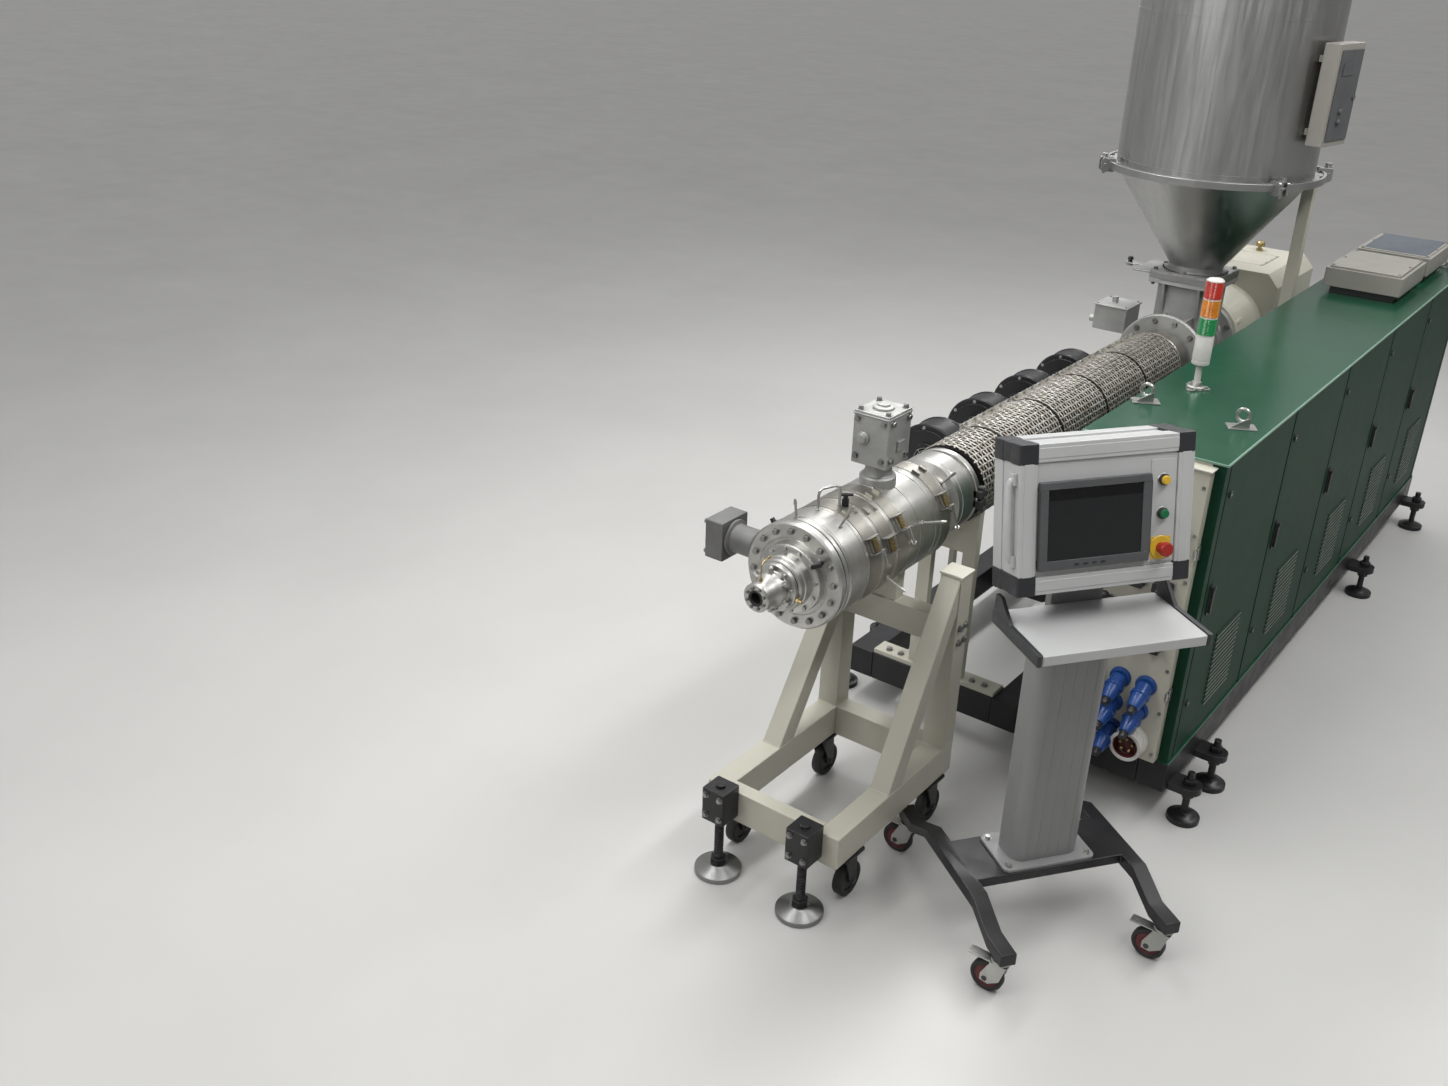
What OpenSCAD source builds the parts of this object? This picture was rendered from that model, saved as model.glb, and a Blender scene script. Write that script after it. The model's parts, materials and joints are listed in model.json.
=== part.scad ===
// Single-screw plastic extruder: machine with side cabinet, barrel, hopper and die head on its
// own stand, and the operator console trolley that belongs to it.
// Lengths in millimetres. X to the right, Y along the extrusion axis from the nozzle lips to the
// gearbox, Z up from the floor. The sizes are given from the point on the floor under the nozzle
// lips, and row_frame() moves everything to the middle of the machine's own floor rectangle.

/* [Extrusion axis] */
// Height of the extrusion axis above the floor
axis_h = 1000; // [960:5:1040]
// Outer radius of the barrel
barrel_r = 75; // [65:1:80]
// End of the barrel at the feed throat
barrel_end_y = 3050; // [3030:1:3060]
// Room left between pieces that stand or turn near each other
room = 0.3; // [0.2:0.1:0.5]

/* [Die head] */
// Radius of the nozzle tip
nozzle_r = 44; // [40:1:50]
// Radius of the outlet bore
outlet_r = 18; // [12:1:25]
// Length of the nozzle in front of the face plate
nozzle_len = 185; // [170:5:210]
// Radius of the bolted face plate
face_r = 168; // [160:1:180]
// Thickness of the face plate
face_t = 50; // [40:1:60]
// Radius of the die body
body_r = 158; // [150:1:162]
// Place of the die body's rear end along the axis
body_end_y = 860; // [850:5:880]
// Radius of the rear ring of the die
neck_r = 120; // [112:1:125]
// Place of the barrel clamp along the axis
clamp_y = 1060; // [1050:1:1070]
// Width of the barrel clamp
clamp_w = 42; // [34:1:48]
// Thickness of a heater band
band_t = 8; // [5:1:10]
// Width of a heater band
band_w = 62; // [50:1:70]
// Side of the connection block on top of the die
block_s = 125; // [110:5:140]
// Height of the connection block on top of the die
block_h = 170; // [150:5:190]
// Radius of the melt ports of both connection blocks
port_r = 20; // [15:1:25]

/* [Barrel cooling] */
// Outer radius of the perforated zone covers
cover_r = 145; // [138:1:150]
// Length of one heating zone
zone_pitch = 395; // [380:1:400]
// Number of full heating zones
zones = 4; // [3:1:4]
// Dark gap between two zone covers
zone_gap = 12; // [8:1:16]
// Radius of a blower drum
blower_r = 138; // [120:1:145]
// Width of a blower drum
blower_w = 120; // [100:1:140]
// Sideways distance of the blower drums from the axis
blower_x = 282; // [275:1:295]

/* [Feed throat and drive] */
// Radius of the throat's front flange
throat_flange_r = 200; // [180:5:210]
// Radius of the throat casting round the barrel
throat_r = 125; // [110:1:135]
// Side of the throat's upright duct
duct_s = 230; // [210:5:250]
// Front face of the gearbox
gearbox_y = 3760; // [3740:5:3800]
// Length of the gearbox along the axis
gearbox_len = 560; // [500:10:600]
// Width of the gearbox casing
gearbox_w = 500; // [440:10:520]
// Top of the gearbox above the floor
gearbox_top = 1285; // [1250:5:1300]
// Radius of the drive motor
motor_r = 215; // [190:5:225]
// Length of the motor's finned frame
motor_len = 640; // [560:10:700]

/* [Hopper] */
// Place of the hopper's upright axis along the machine
hopper_y = 3300; // [3290:1:3310]
// Radius of the hopper shell
hopper_r = 410; // [390:5:420]
// Radius of the flanges between cone and shell
ring_r = 452; // [446:1:460]
// Height of the joint between cone and shell
ring_z = 1800; // [1770:5:1830]
// Height of the hopper shell
shell_h = 1090; // [900:10:1200]
// Thickness of the hopper's sheet
sheet_t = 3; // [2:0.5:5]
// Radius of the cone's outlet
cone_r = 118; // [105:1:120]
// Thickness of the flanges
flange_t = 8; // [6:1:12]
// Side of the slide gate's frame
gate_s = 300; // [280:5:320]
// Width of the slide gate's plate
gate_w = 244; // [244:2:250]
// Thickness of the slide gate's plate
gate_t = 6; // [4:1:8]
// Side of the post that carries the hopper ring
post_s = 50; // [40:1:55]

/* [Cabinet] */
// Left side of the cabinet
cab_x0 = 432; // [420:1:440]
// Width of the cabinet
cab_w = 471; // [450:1:500]
// Front of the cabinet and of the base frame
cab_y0 = 1145; // [1140:1:1150]
// Top of the roof above the floor
cab_top = 1304; // [1270:1:1340]
// Width of the corner posts
corner_w = 44; // [40:1:50]
// Distance from door to door
door_pitch = 655; // [640:1:680]
// Number of doors
doors = 5; // [5]
// Seam between two doors
door_seam = 14; // [14:1:18]
// Thickness of a door
door_t = 20; // [16:1:25]
// Thickness of the roof and floor sheet
plate_t = 5; // [3:1:6]
// Height of the turned lips of roof and floor
lip_h = 38; // [30:1:45]
// Room round a moving door
door_room = 6; // [5:0.5:8]

/* [Base frame] */
// Underside of the base beams above the floor
base_z = 118; // [100:1:130]
// Height of the base beams
beam_h = 110; // [100:1:120]
// Width of the base beams
beam_w = 100; // [80:1:110]
// Sideways distance of the drive beams from the axis
drive_x = 300; // [290:1:310]
// Diameter of the levelling pads
pad_d = 110; // [90:5:120]

/* [Die stand] */
// Outer left side of the stand
stand_x0 = -169; // [-180:1:-160]
// Outer width of the stand
stand_w = 488; // [470:1:500]
// Front face of the stand
stand_y0 = 30; // [20:1:40]
// Length of the stand up to its posts
stand_len = 692; // [680:1:710]
// Top of the stand's rails above the floor
rail_top = 291; // [280:1:300]
// Height of the rails
rail_h = 110; // [100:1:118]
// Width of rails and posts
rail_w = 75; // [70:1:80]
// Top of the right post above the floor
post_top = 926; // [900:1:940]
// Top of the left post, which ends under the die body
left_post_top = 806; // [780:1:820]
// Diameter of the jack pads
jack_pad_d = 150; // [120:5:160]
// Side of the jack blocks
jack_s = 82; // [70:1:90]
// Diameter of the stand's caster wheels
stand_wheel_d = 118; // [100:1:124]

/* [Console] */
// Place of the console across the machine
console_x = 774; // [765:1:800]
// Place of the console along the machine
console_y = 451; // [430:1:470]
// Angle that the console is turned by
console_turn = 54; // [50:1:58]
// Width of the console's enclosure
panel_w = 516; // [480:1:540]
// Height of the console's enclosure
panel_h = 404; // [380:1:430]
// Depth of the console's enclosure
panel_d = 198; // [180:1:210]
// Underside of the console's enclosure above the floor
panel_z = 1148; // [1130:1:1170]
// Angle that the enclosure leans back by
panel_tilt = 12; // [5:1:15]
// Width of the keyboard shelf
shelf_w = 516; // [480:1:540]
// Depth of the keyboard shelf
shelf_d = 260; // [230:5:280]
// Thickness of the keyboard shelf
shelf_t = 32; // [24:1:40]
// Width of the column
column_w = 224; // [200:1:240]
// Depth of the column
column_d = 122; // [110:1:130]
// Distance between the console's caster pairs
track_w = 524; // [500:1:540]
// Reach of the legs to the front casters
leg_front = 316; // [300:1:330]
// Reach of the legs to the back casters
leg_back = 330; // [320:1:340]
// Width of the leg tubes
leg_w = 50; // [40:1:60]
// Height of the leg tubes
leg_h = 40; // [35:1:45]
// Diameter of the console's caster wheels
wheel_d = 100; // [90:1:104]
// Width of the console's caster wheels
wheel_w = 32; // [28:1:34]
// Height of a console caster
caster_h = 128; // [126:1:135]
// Trail of a console caster
caster_trail = 36; // [30:1:40]

/* [Hidden] */
$fn = 64;

green = [0.12, 0.35, 0.25];
navy = [0.08, 0.1, 0.13];
black = [0.06, 0.06, 0.06];
cream = [0.82, 0.8, 0.7];
steel = [0.66, 0.66, 0.66];
cast = [0.5, 0.51, 0.51];
mesh_grey = [0.6, 0.58, 0.54];
silver = [0.8, 0.8, 0.8];
zinc = [0.7, 0.7, 0.68];

// Cabinet places
cab_x1 = cab_x0 + cab_w;
door_x = cab_x1 - 5;
cab_len = 2 * corner_w + doors * door_pitch;
cab_y1 = cab_y0 + cab_len;
base_top = base_z + beam_h;
door_w = door_pitch - door_seam;
door_z0 = base_top + plate_t + door_room;
door_z1 = cab_top - plate_t - door_room;
hinge_back = 5;
door_front = [for (i = [0:doors - 1]) cab_y0 + corner_w + door_seam / 2 + i * door_pitch];

// Places along the barrel
flange_y = clamp_y + clamp_w;
support_y = cab_y0 + 20;
support_t = 32;
cover_y0 = support_y + support_t + 3;
zone_y0 = cover_y0 + 141;
cover_y1 = zone_y0 + zones * zone_pitch;
throat_end = 3500;
throat_flange_t = 25;

// Hopper places
throat_top = axis_h + 320;
gate_h = gate_t + 24;
gate_z = throat_top;
gate_fit = 0.4;
cone_z0 = gate_z + gate_h;
neck_h = 32;
shell_z1 = ring_z + shell_h;
post_x = 335;
post_y = hopper_y + 310;

// Stand places
stand_x1 = stand_x0 + stand_w;
stand_y1 = stand_y0 + stand_len;
rail_bottom = rail_top - rail_h;
jack_x = [stand_x0 + 80, stand_x1 - 94];
jack_y = stand_y0 - jack_s / 2;
upper_beam_z = 665;
upper_beam_h = 95;

// Console places in its own frame: X to the right, front towards -Y
base_mid = 26;
leg_end = 35;
leg_rise = 55;
leg_top = caster_h + leg_rise + leg_h;
column_top = 1040;
shelf_back = 20;
caster_at = [[-track_w / 2, base_mid - leg_front], [track_w / 2, base_mid - leg_front],
    [-track_w / 2, base_mid + leg_back], [track_w / 2, base_mid + leg_back]];

// Middle of the machine's floor rectangle
leg_corner_x = console_x + (track_w + leg_w) / 2 * cos(console_turn)
    + (leg_front - base_mid + leg_end) * sin(console_turn);
foot_reach = 62;
left_reach = max(ring_r, drive_x + beam_w / 2 + room + foot_reach + pad_d / 2);
mid_x = (leg_corner_x - left_reach) / 2;
mid_y = (cab_y1 + jack_y - jack_pad_d / 2) / 2;

module row_frame() translate([-mid_x, -mid_y, 0]) children();

// Turns a shape drawn up Z so that it runs along the extrusion axis from y
module on_axis(y = 0) translate([0, y, axis_h]) rotate([-90, 0, 0]) children();

// Solid of revolution about the extrusion axis; its points are [radius, place along the axis]
module turned(points) on_axis() rotate_extrude($fn = 96) polygon(points);

module box(low, high) translate(low) cube(high - low);

module round_of(n, r, start = 0) for (i = [0:n - 1]) rotate([0, 0, start + 360 * i / n])
    translate([r, 0, 0]) children();

module tube(outer, inner, h) difference() {
    cylinder(r = outer, h = h, $fn = 96);
    translate([0, 0, -1]) cylinder(r = inner, h = h + 2, $fn = 96);
}

// Flat plate with rounded corners
module rounded_plate(w, d, h, r) linear_extrude(h) square_rounded(w, d, r);
module square_rounded(w, d, r) {
    square([w - 2 * r, d], center = true);
    square([w, d - 2 * r], center = true);
    for (x = [-1, 1], y = [-1, 1]) translate([x * (w / 2 - r), y * (d / 2 - r)]) circle(r);
}

// Base frame and feet
beam_x = [-drive_x - beam_w / 2, drive_x - beam_w / 2, cab_x0, cab_x1 - beam_w];
cross_y = [cab_y0, 2150, gearbox_y - 20, cab_y1 - beam_w];
module base_side_beams() color(navy) row_frame()
    for (x = beam_x) box([x, cab_y0, base_z], [x + beam_w, cab_y1, base_top]);
module base_cross_beams() color(navy) row_frame()
    for (i = [0:2], y = cross_y) if (beam_x[i + 1] - beam_x[i] > beam_w + 1)
        box([beam_x[i] + beam_w + room, y, base_z], [beam_x[i + 1] - room, y + beam_w, base_top]);

// Levelling foot: lug on the beam's side, bolt and round pad
lug_t = 26;
foot_y = [cab_y0 + 75, cab_y0 + 330, 3420, cab_y1 - 110];
module levelling_foot() {
    lug_r = 42;
    difference() {
        union() {
            translate([0, -lug_r, base_z - room]) cube([foot_reach, 2 * lug_r, lug_t]);
            translate([foot_reach, 0, base_z - room]) cylinder(r = lug_r, h = lug_t);
        }
        translate([foot_reach, 0, base_z - 2]) cylinder(r = 13, h = lug_t + 4);
    }
    translate([foot_reach, 0, 0]) {
        cylinder(d = pad_d, h = 18);
        translate([0, 0, 18]) cylinder(d1 = pad_d - 12, d2 = 50, h = 14);
        cylinder(r = 12.5, h = base_z + 72);
        translate([0, 0, base_z - 24]) cylinder(r = 22, h = 22, $fn = 6);
        translate([0, 0, base_z + lug_t]) cylinder(r = 22, h = 20, $fn = 6);
    }
}
module machine_feet() color(black) row_frame() for (y = foot_y) {
    translate([cab_x1 + room, y, 0]) levelling_foot();
    translate([-drive_x - beam_w / 2 - room, y, 0]) mirror([1, 0, 0]) levelling_foot();
}

// Cabinet shell
module cabinet_roof() color(green) row_frame() {
    box([cab_x0, cab_y0, cab_top - plate_t], [cab_x1, cab_y1, cab_top]);
    box([door_x - door_t - door_room - 4, cab_y0 + corner_w + 1, cab_top - lip_h],
        [door_x - door_t - door_room, cab_y1 - corner_w - 1, cab_top - plate_t]);
}
module cabinet_floor() color(green) row_frame() {
    box([cab_x0, cab_y0, base_top], [cab_x1, cab_y1, base_top + plate_t]);
    box([door_x - door_t - door_room - 4, cab_y0 + corner_w + 1, base_top + plate_t],
        [door_x - door_t - door_room, cab_y1 - corner_w - 1, base_top + lip_h]);
}
wall_t = 3;
module cabinet_walls() color(green) row_frame() {
    box([cab_x0, cab_y0, base_top + plate_t], [cab_x0 + wall_t, cab_y1, cab_top - plate_t]);
    box([cab_x0 + wall_t + room, cab_y1 - wall_t, base_top + plate_t],
        [door_x - corner_w, cab_y1, cab_top - plate_t]);
}
post_depth = 36;
module cabinet_posts() color(green) row_frame() {
    z0 = base_top + plate_t;
    z1 = cab_top - plate_t;
    back = door_x - door_t - door_room - 4 - room;
    for (i = [1:doors - 1]) {
        y = cab_y0 + corner_w + i * door_pitch;
        box([back - post_depth, y - 20, z0], [back, y + 20, z1]);
    }
    // The rear one leaves room for the last door's pins
    for (y = [[cab_y0, cab_y0 + corner_w], [cab_y1 - corner_w + pin_r + 2, cab_y1]])
        box([door_x - corner_w + room, y[0], z0], [door_x, y[1], z1]);
}

// End panel with its connectors
panel_x0 = cab_x0 + 38;
panel_x1 = cab_x1 - 38;
end_panel_z0 = base_top + 14;
end_panel_z1 = cab_top - 18;
end_panel_d = 40;
end_panel_y = cab_y0 - end_panel_d;
module connector_panel() color(cream) row_frame() {
    box([panel_x0, end_panel_y, end_panel_z0], [panel_x1, cab_y0, end_panel_z1]);
    box([cab_x0 + wall_t + room, cab_y0, base_top + plate_t],
        [door_x - corner_w, cab_y0 + 3, cab_top - plate_t]);
    box([panel_x0 - 8, end_panel_y - 12, end_panel_z1], [panel_x1 + 8, cab_y0 - room, end_panel_z1 + 4]);
}
socket_x = [panel_x1 - 70, panel_x1 - 158, panel_x1 - 246, panel_x1 - 334];
module power_inlet() translate([panel_x1 - 84, end_panel_y, end_panel_z0 + 62])
    rotate([90, 0, 0]) {
        cylinder(r = 56, h = 24);
        tube(56, 42, 62);
        for (a = [0:72:359]) rotate([0, 0, a]) translate([24, 0, 20]) cylinder(r = 6, h = 34);
    }
module round_plug() rotate([90, 0, 0]) {
    cylinder(r = 36, h = 14);
    translate([0, 0, 13]) rotate([24, 0, 0]) {
        cylinder(r = 27, h = 62);
        translate([0, 0, 62]) cylinder(r1 = 27, r2 = 17, h = 34);
        translate([0, 0, 96]) cylinder(r = 13, h = 22);
        translate([0, 0, 34]) cylinder(r = 31, h = 10);
    }
}
module pole_socket() {
    translate([-34, -16, -20]) cube([68, 16, 40]);
    translate([-28, -50, -16]) cube([56, 34, 32]);
    translate([0, -33, 16]) cylinder(r = 11, h = 22);
}
module panel_sockets() color([0.12, 0.25, 0.6]) row_frame() {
    power_inlet();
    for (x = socket_x, i = [0:2]) if (i > 0 || x < panel_x1 - 100)
        translate([x - (i % 2) * 12, end_panel_y, end_panel_z0 + 78 + i * 98]) round_plug();
    for (x = socket_x, i = [0:4])
        translate([x, end_panel_y, end_panel_z0 + 430 + i * 105]) pole_socket();
}

// Roof fittings
module fan_hood() {
    box([30, 30, 0], [290, 400, 32]);
    box([0, 0, 32], [320, 430, 112]);
    box([14, 14, 112], [306, 416, 120]);
}
module roof_fan_hoods() color(cream) row_frame()
    for (y = [cab_y1 - 990, cab_y1 - 490]) translate([cab_x0 + 62, y, cab_top]) fan_hood();
eye_at = [[cab_x0 + 50, cab_y0 + 395], [cab_x1 - 88, cab_y0 + 365],
    [cab_x0 + 50, cab_y1 - 40], [cab_x1 - 88, cab_y1 - 40]];
module lifting_eyes() color(zinc) row_frame() for (p = eye_at) translate([p[0], p[1], cab_top]) {
    cylinder(r = 26, h = 8);
    cylinder(r = 12, h = 22);
    translate([0, 6, 42]) rotate([90, 0, 0]) tube(26, 15, 12);
}
tower_at = [cab_x0 + 129, cab_y0 + 650];
lens_r = 30;
lens_h = 58;
module signal_tower() color(silver) row_frame() translate([tower_at[0], tower_at[1], cab_top]) {
    cylinder(r = 42, h = 7);
    cylinder(r = 19, h = 26);
    cylinder(r = 11, h = 90);
    translate([0, 0, 84]) cylinder(r = lens_r, h = 106);
    for (i = [0:2]) translate([0, 0, 190 + i * (lens_h + 5)]) {
        cylinder(r = lens_r - 2, h = 5);
        translate([0, 0, 5]) cylinder(r = lens_r, h = lens_h);
    }
    translate([0, 0, 190 + 3 * (lens_h + 5)]) cylinder(r1 = lens_r, r2 = lens_r - 8, h = 9);
}

// Drive
module gearbox() color(cream) row_frame() {
    w = gearbox_w / 2;
    y1 = gearbox_y + gearbox_len;
    difference() {
        union() {
            box([-w, gearbox_y, base_top + 40], [w, y1, gearbox_top - 60]);
            translate([0, gearbox_y, gearbox_top - 60]) rotate([-90, 0, 0])
                linear_extrude(gearbox_len) polygon([[-w, 0], [-w + 55, -60], [w - 55, -60], [w, 0]]);
            box([-w - 22, gearbox_y, axis_h - 16], [w + 22, y1 + 8, axis_h + 16]);
            box([-drive_x - 40, gearbox_y + 20, base_top], [drive_x + 30, y1 - 20, base_top + 40]);
            for (s = [-1, 1], y = [gearbox_y + 60, gearbox_y + gearbox_len / 2, y1 - 60])
                box([s > 0 ? w : -w - 22, y - 9, base_top + 40],
                    [s > 0 ? w + 22 : -w, y + 9, axis_h - 16]);
        }
        // Recess of the inspection cover in the top
        box([-120, gearbox_y + 150, gearbox_top - 6], [120, y1 - 150, gearbox_top + 1]);
    }
    on_axis(y1) cylinder(r = 150, h = 26);
    translate([0, y1, axis_h - 330]) rotate([-90, 0, 0]) cylinder(r = 120, h = 22);
}
module bearing_housing() color(cream) row_frame() {
    turned([[0, throat_end], [185, throat_end], [185, throat_end + 28], [160, throat_end + 34],
        [160, throat_end + 90], [215, gearbox_y - 60], [215, gearbox_y], [0, gearbox_y]]);
    on_axis(throat_end + 28) for (a = [30:60:359]) rotate([0, 0, a])
        translate([150, -7, 0]) cube([30, 14, gearbox_y - throat_end - 60]);
}
motor_z = base_top + 250;
bell_len = 210;
motor_y = gearbox_y - bell_len - motor_len;
module drive_motor() color([0.3, 0.33, 0.36]) row_frame() translate([0, motor_y, motor_z])
    rotate([-90, 0, 0]) {
        translate([0, 0, -110]) cylinder(r = motor_r - 8, h = 110);
        cylinder(r = motor_r - 14, h = motor_len);
        for (a = [15:15:345]) if (abs(a - 90) > 20) rotate([0, 0, a])
            translate([0, -3, 20]) cube([motor_r, 6, motor_len - 60]);
        translate([0, 0, motor_len]) cylinder(r1 = motor_r, r2 = 150, h = bell_len - 24);
        translate([0, 0, motor_len + bell_len - 24]) cylinder(r = 185, h = 24);
        // Feet on the base beams and terminal box
        for (z = [80, motor_len - 140]) translate([-drive_x - 20, 190, z])
            cube([2 * drive_x + 40, 250 - 190, 60]);
        translate([-motor_r - 70, -90, 200]) cube([90, 180, 220]);
    }

// Feed throat, with a duct up to the slide gate
module feed_throat() color(cast) row_frame() difference() {
    union() {
        turned([[barrel_r + room, barrel_end_y - throat_flange_t],
            [throat_flange_r, barrel_end_y - throat_flange_t], [throat_flange_r, barrel_end_y],
            [throat_r, barrel_end_y + 4], [throat_r, throat_end - 40], [178, throat_end - 36],
            [178, throat_end], [0, throat_end], [0, barrel_end_y + 1], [barrel_r + room, barrel_end_y + 1]]);
        box([-duct_s / 2, hopper_y - duct_s / 2, axis_h], [duct_s / 2, hopper_y + duct_s / 2, throat_top - 18]);
        box([-gate_s / 2, hopper_y - gate_s / 2, throat_top - 18],
            [gate_s / 2, hopper_y + gate_s / 2, throat_top]);
        for (s = [-1, 1]) box([s * 60 - 8, barrel_end_y + 1, axis_h + 40],
            [s * 60 + 8, throat_end - 10, axis_h + 170]);
    }
    // Feed opening down to the screw
    translate([0, hopper_y, axis_h + 20]) cylinder(r = duct_s / 2 - 22, h = 400);
}
module throat_box() color(cast) row_frame() {
    box([-350, barrel_end_y + 30, axis_h + 62], [-200, barrel_end_y + 190, axis_h + 172]);
    box([-356, barrel_end_y + 24, axis_h + 172], [-194, barrel_end_y + 196, axis_h + 178]);
    box([-340, barrel_end_y + 80, axis_h + 54], [-throat_r + 12, barrel_end_y + 130, axis_h + 62]);
    translate([-290, barrel_end_y + 110, axis_h + 178]) cylinder(r = 14, h = 26);
    for (y = [55, 110, 165]) translate([-350, barrel_end_y + y, axis_h + 100]) rotate([0, -90, 0])
        cylinder(r = 15, h = 26);
}

// Barrel and what sits on it
module barrel() color(steel) row_frame()
    turned([[0, flange_y + room], [112, flange_y + room], [112, flange_y + 30], [barrel_r, flange_y + 36],
        [barrel_r, barrel_end_y], [0, barrel_end_y]]);
module barrel_support() color(cream) row_frame() difference() {
    union() {
        box([-110, support_y, base_top + 16], [110, support_y + support_t, axis_h]);
        box([-drive_x + 50 + room, support_y - 14, base_top], [drive_x - 50 - room, support_y + 62, base_top + 16]);
        box([-9, support_y + support_t, base_top + 16], [9, support_y + 62, axis_h - 240]);
        on_axis(support_y) cylinder(r = 110, h = support_t);
    }
    on_axis(support_y - 1) cylinder(r = barrel_r + room, h = support_t + 2);
    box([-60, support_y - 1, axis_h - 640], [60, support_y + support_t + 1, axis_h - 260]);
}
ridge_turn = -128;
module zone_cover(y, len) on_axis(y) {
    tube(cover_r, barrel_r + room, len);
    for (a = [ridge_turn, ridge_turn + 180]) rotate([0, 0, a])
        translate([cover_r - 4, -11, 6]) cube([20, 22, len - 12]);
}
module zone_covers() color(mesh_grey) row_frame() {
    zone_cover(cover_y0, zone_y0 - cover_y0 - zone_gap / 2);
    for (i = [0:zones - 1])
        zone_cover(zone_y0 + i * zone_pitch + zone_gap / 2, zone_pitch - zone_gap);
}
blower_z = axis_h - 95;
module blower() {
    rotate([-90, 0, 0]) {
        translate([0, 0, -blower_w / 2]) cylinder(r = blower_r, h = blower_w, $fn = 96);
        translate([0, 0, -blower_w / 2 - 6]) tube(blower_r - 22, 62, 8);
        translate([0, 0, -blower_w / 2 - 16]) tube(66, 52, 18);
        translate([0, 0, blower_w / 2]) cylinder(r = 62, h = 96);
        translate([0, 0, blower_w / 2 + 96]) cylinder(r1 = 62, r2 = 50, h = 12);
    }
    // Outlet neck up to the underside of the zone cover
    translate([40, -blower_w / 2 + 8, -blower_r + 14]) cube([blower_x - 92, blower_w - 16, 76]);
    translate([blower_x - 130, -blower_w / 2 + 8, -blower_r + 14])
        cube([78, blower_w - 16, blower_r + 2]);
}
module blowers() color(black) row_frame() difference() {
    for (i = [0:zones - 1])
        translate([-blower_x, zone_y0 + (i + 0.5) * zone_pitch, blower_z]) blower();
    on_axis(cover_y0) cylinder(r = cover_r + room, h = cover_y1 - cover_y0);
}

// Slide gate and hopper
module gate_frame() color(steel) row_frame() difference() {
    box([-gate_s / 2, hopper_y - gate_s / 2, gate_z], [gate_s / 2, hopper_y + gate_s / 2, gate_z + gate_h]);
    box([-gate_s / 2 - 1, hopper_y - gate_w / 2 - gate_fit, gate_z + 12 - gate_fit],
        [gate_s / 2 - 20, hopper_y + gate_w / 2 + gate_fit, gate_z + 12 + gate_t + gate_fit]);
    translate([0, hopper_y, gate_z - 1]) cylinder(r = duct_s / 2 - 22, h = gate_h + 2);
}
gate_out = 90;
module slide_gate() color(steel) row_frame() {
    z = gate_z + 12;
    box([-gate_s / 2 - gate_out, hopper_y - gate_w / 2, z], [gate_s / 2 - 26, hopper_y + gate_w / 2, z + gate_t]);
    translate([-gate_s / 2 - gate_out, hopper_y, z]) {
        translate([-62, -22, 0]) cube([63, 44, gate_t]);
        translate([-62, 0, 0]) cylinder(r = 22, h = gate_t);
        translate([-62, 0, -10]) cylinder(r = 15, h = 10);
    }
}
module hopper_cone() color(steel) row_frame() translate([0, hopper_y, 0]) {
    z1 = ring_z - flange_t;
    rotate_extrude($fn = 96) polygon([[cone_r - sheet_t, cone_z0], [gate_s / 2 - 8, cone_z0],
        [gate_s / 2 - 8, cone_z0 + flange_t], [cone_r, cone_z0 + flange_t],
        [cone_r, cone_z0 + neck_h], [hopper_r, z1], [ring_r, z1], [ring_r, ring_z - room],
        [hopper_r - sheet_t, ring_z - room], [hopper_r - sheet_t, z1],
        [cone_r - sheet_t, cone_z0 + neck_h]]);
    difference() {
        translate([-gate_s / 2, -gate_s / 2, cone_z0]) cube([gate_s, gate_s, flange_t]);
        translate([0, 0, cone_z0 - 1]) cylinder(r = cone_r - 1, h = flange_t + 2);
    }
}
module hopper_shell() color(steel) row_frame() translate([0, hopper_y, 0])
    rotate_extrude($fn = 96) polygon([[hopper_r - sheet_t, ring_z], [ring_r, ring_z],
        [ring_r, ring_z + flange_t], [hopper_r, ring_z + flange_t], [hopper_r, shell_z1 - 12],
        [hopper_r + 18, shell_z1 - 12], [hopper_r + 18, shell_z1], [hopper_r - sheet_t, shell_z1]]);
lid_h = 55;
inlet_r = 52;
module hopper_lid() color(steel) row_frame() translate([0, hopper_y, shell_z1 + room]) {
    difference() {
        union() {
            cylinder(r = hopper_r + 18, h = 8, $fn = 96);
            translate([0, 0, 8]) cylinder(r1 = hopper_r, r2 = hopper_r - 190, h = lid_h, $fn = 96);
            translate([0, 0, 8 + lid_h]) cylinder(r = inlet_r + 26, h = 40);
        }
        translate([0, 0, -1]) cylinder(r = inlet_r, h = lid_h + 60);
    }
    for (s = [-1, 1]) translate([s * (hopper_r - 80), 0, 24]) {
        for (y = [-55, 55]) translate([0, y, 0]) cylinder(r = 7, h = 44);
        translate([0, 55, 44]) rotate([90, 0, 0]) cylinder(r = 7, h = 110);
    }
}
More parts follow.
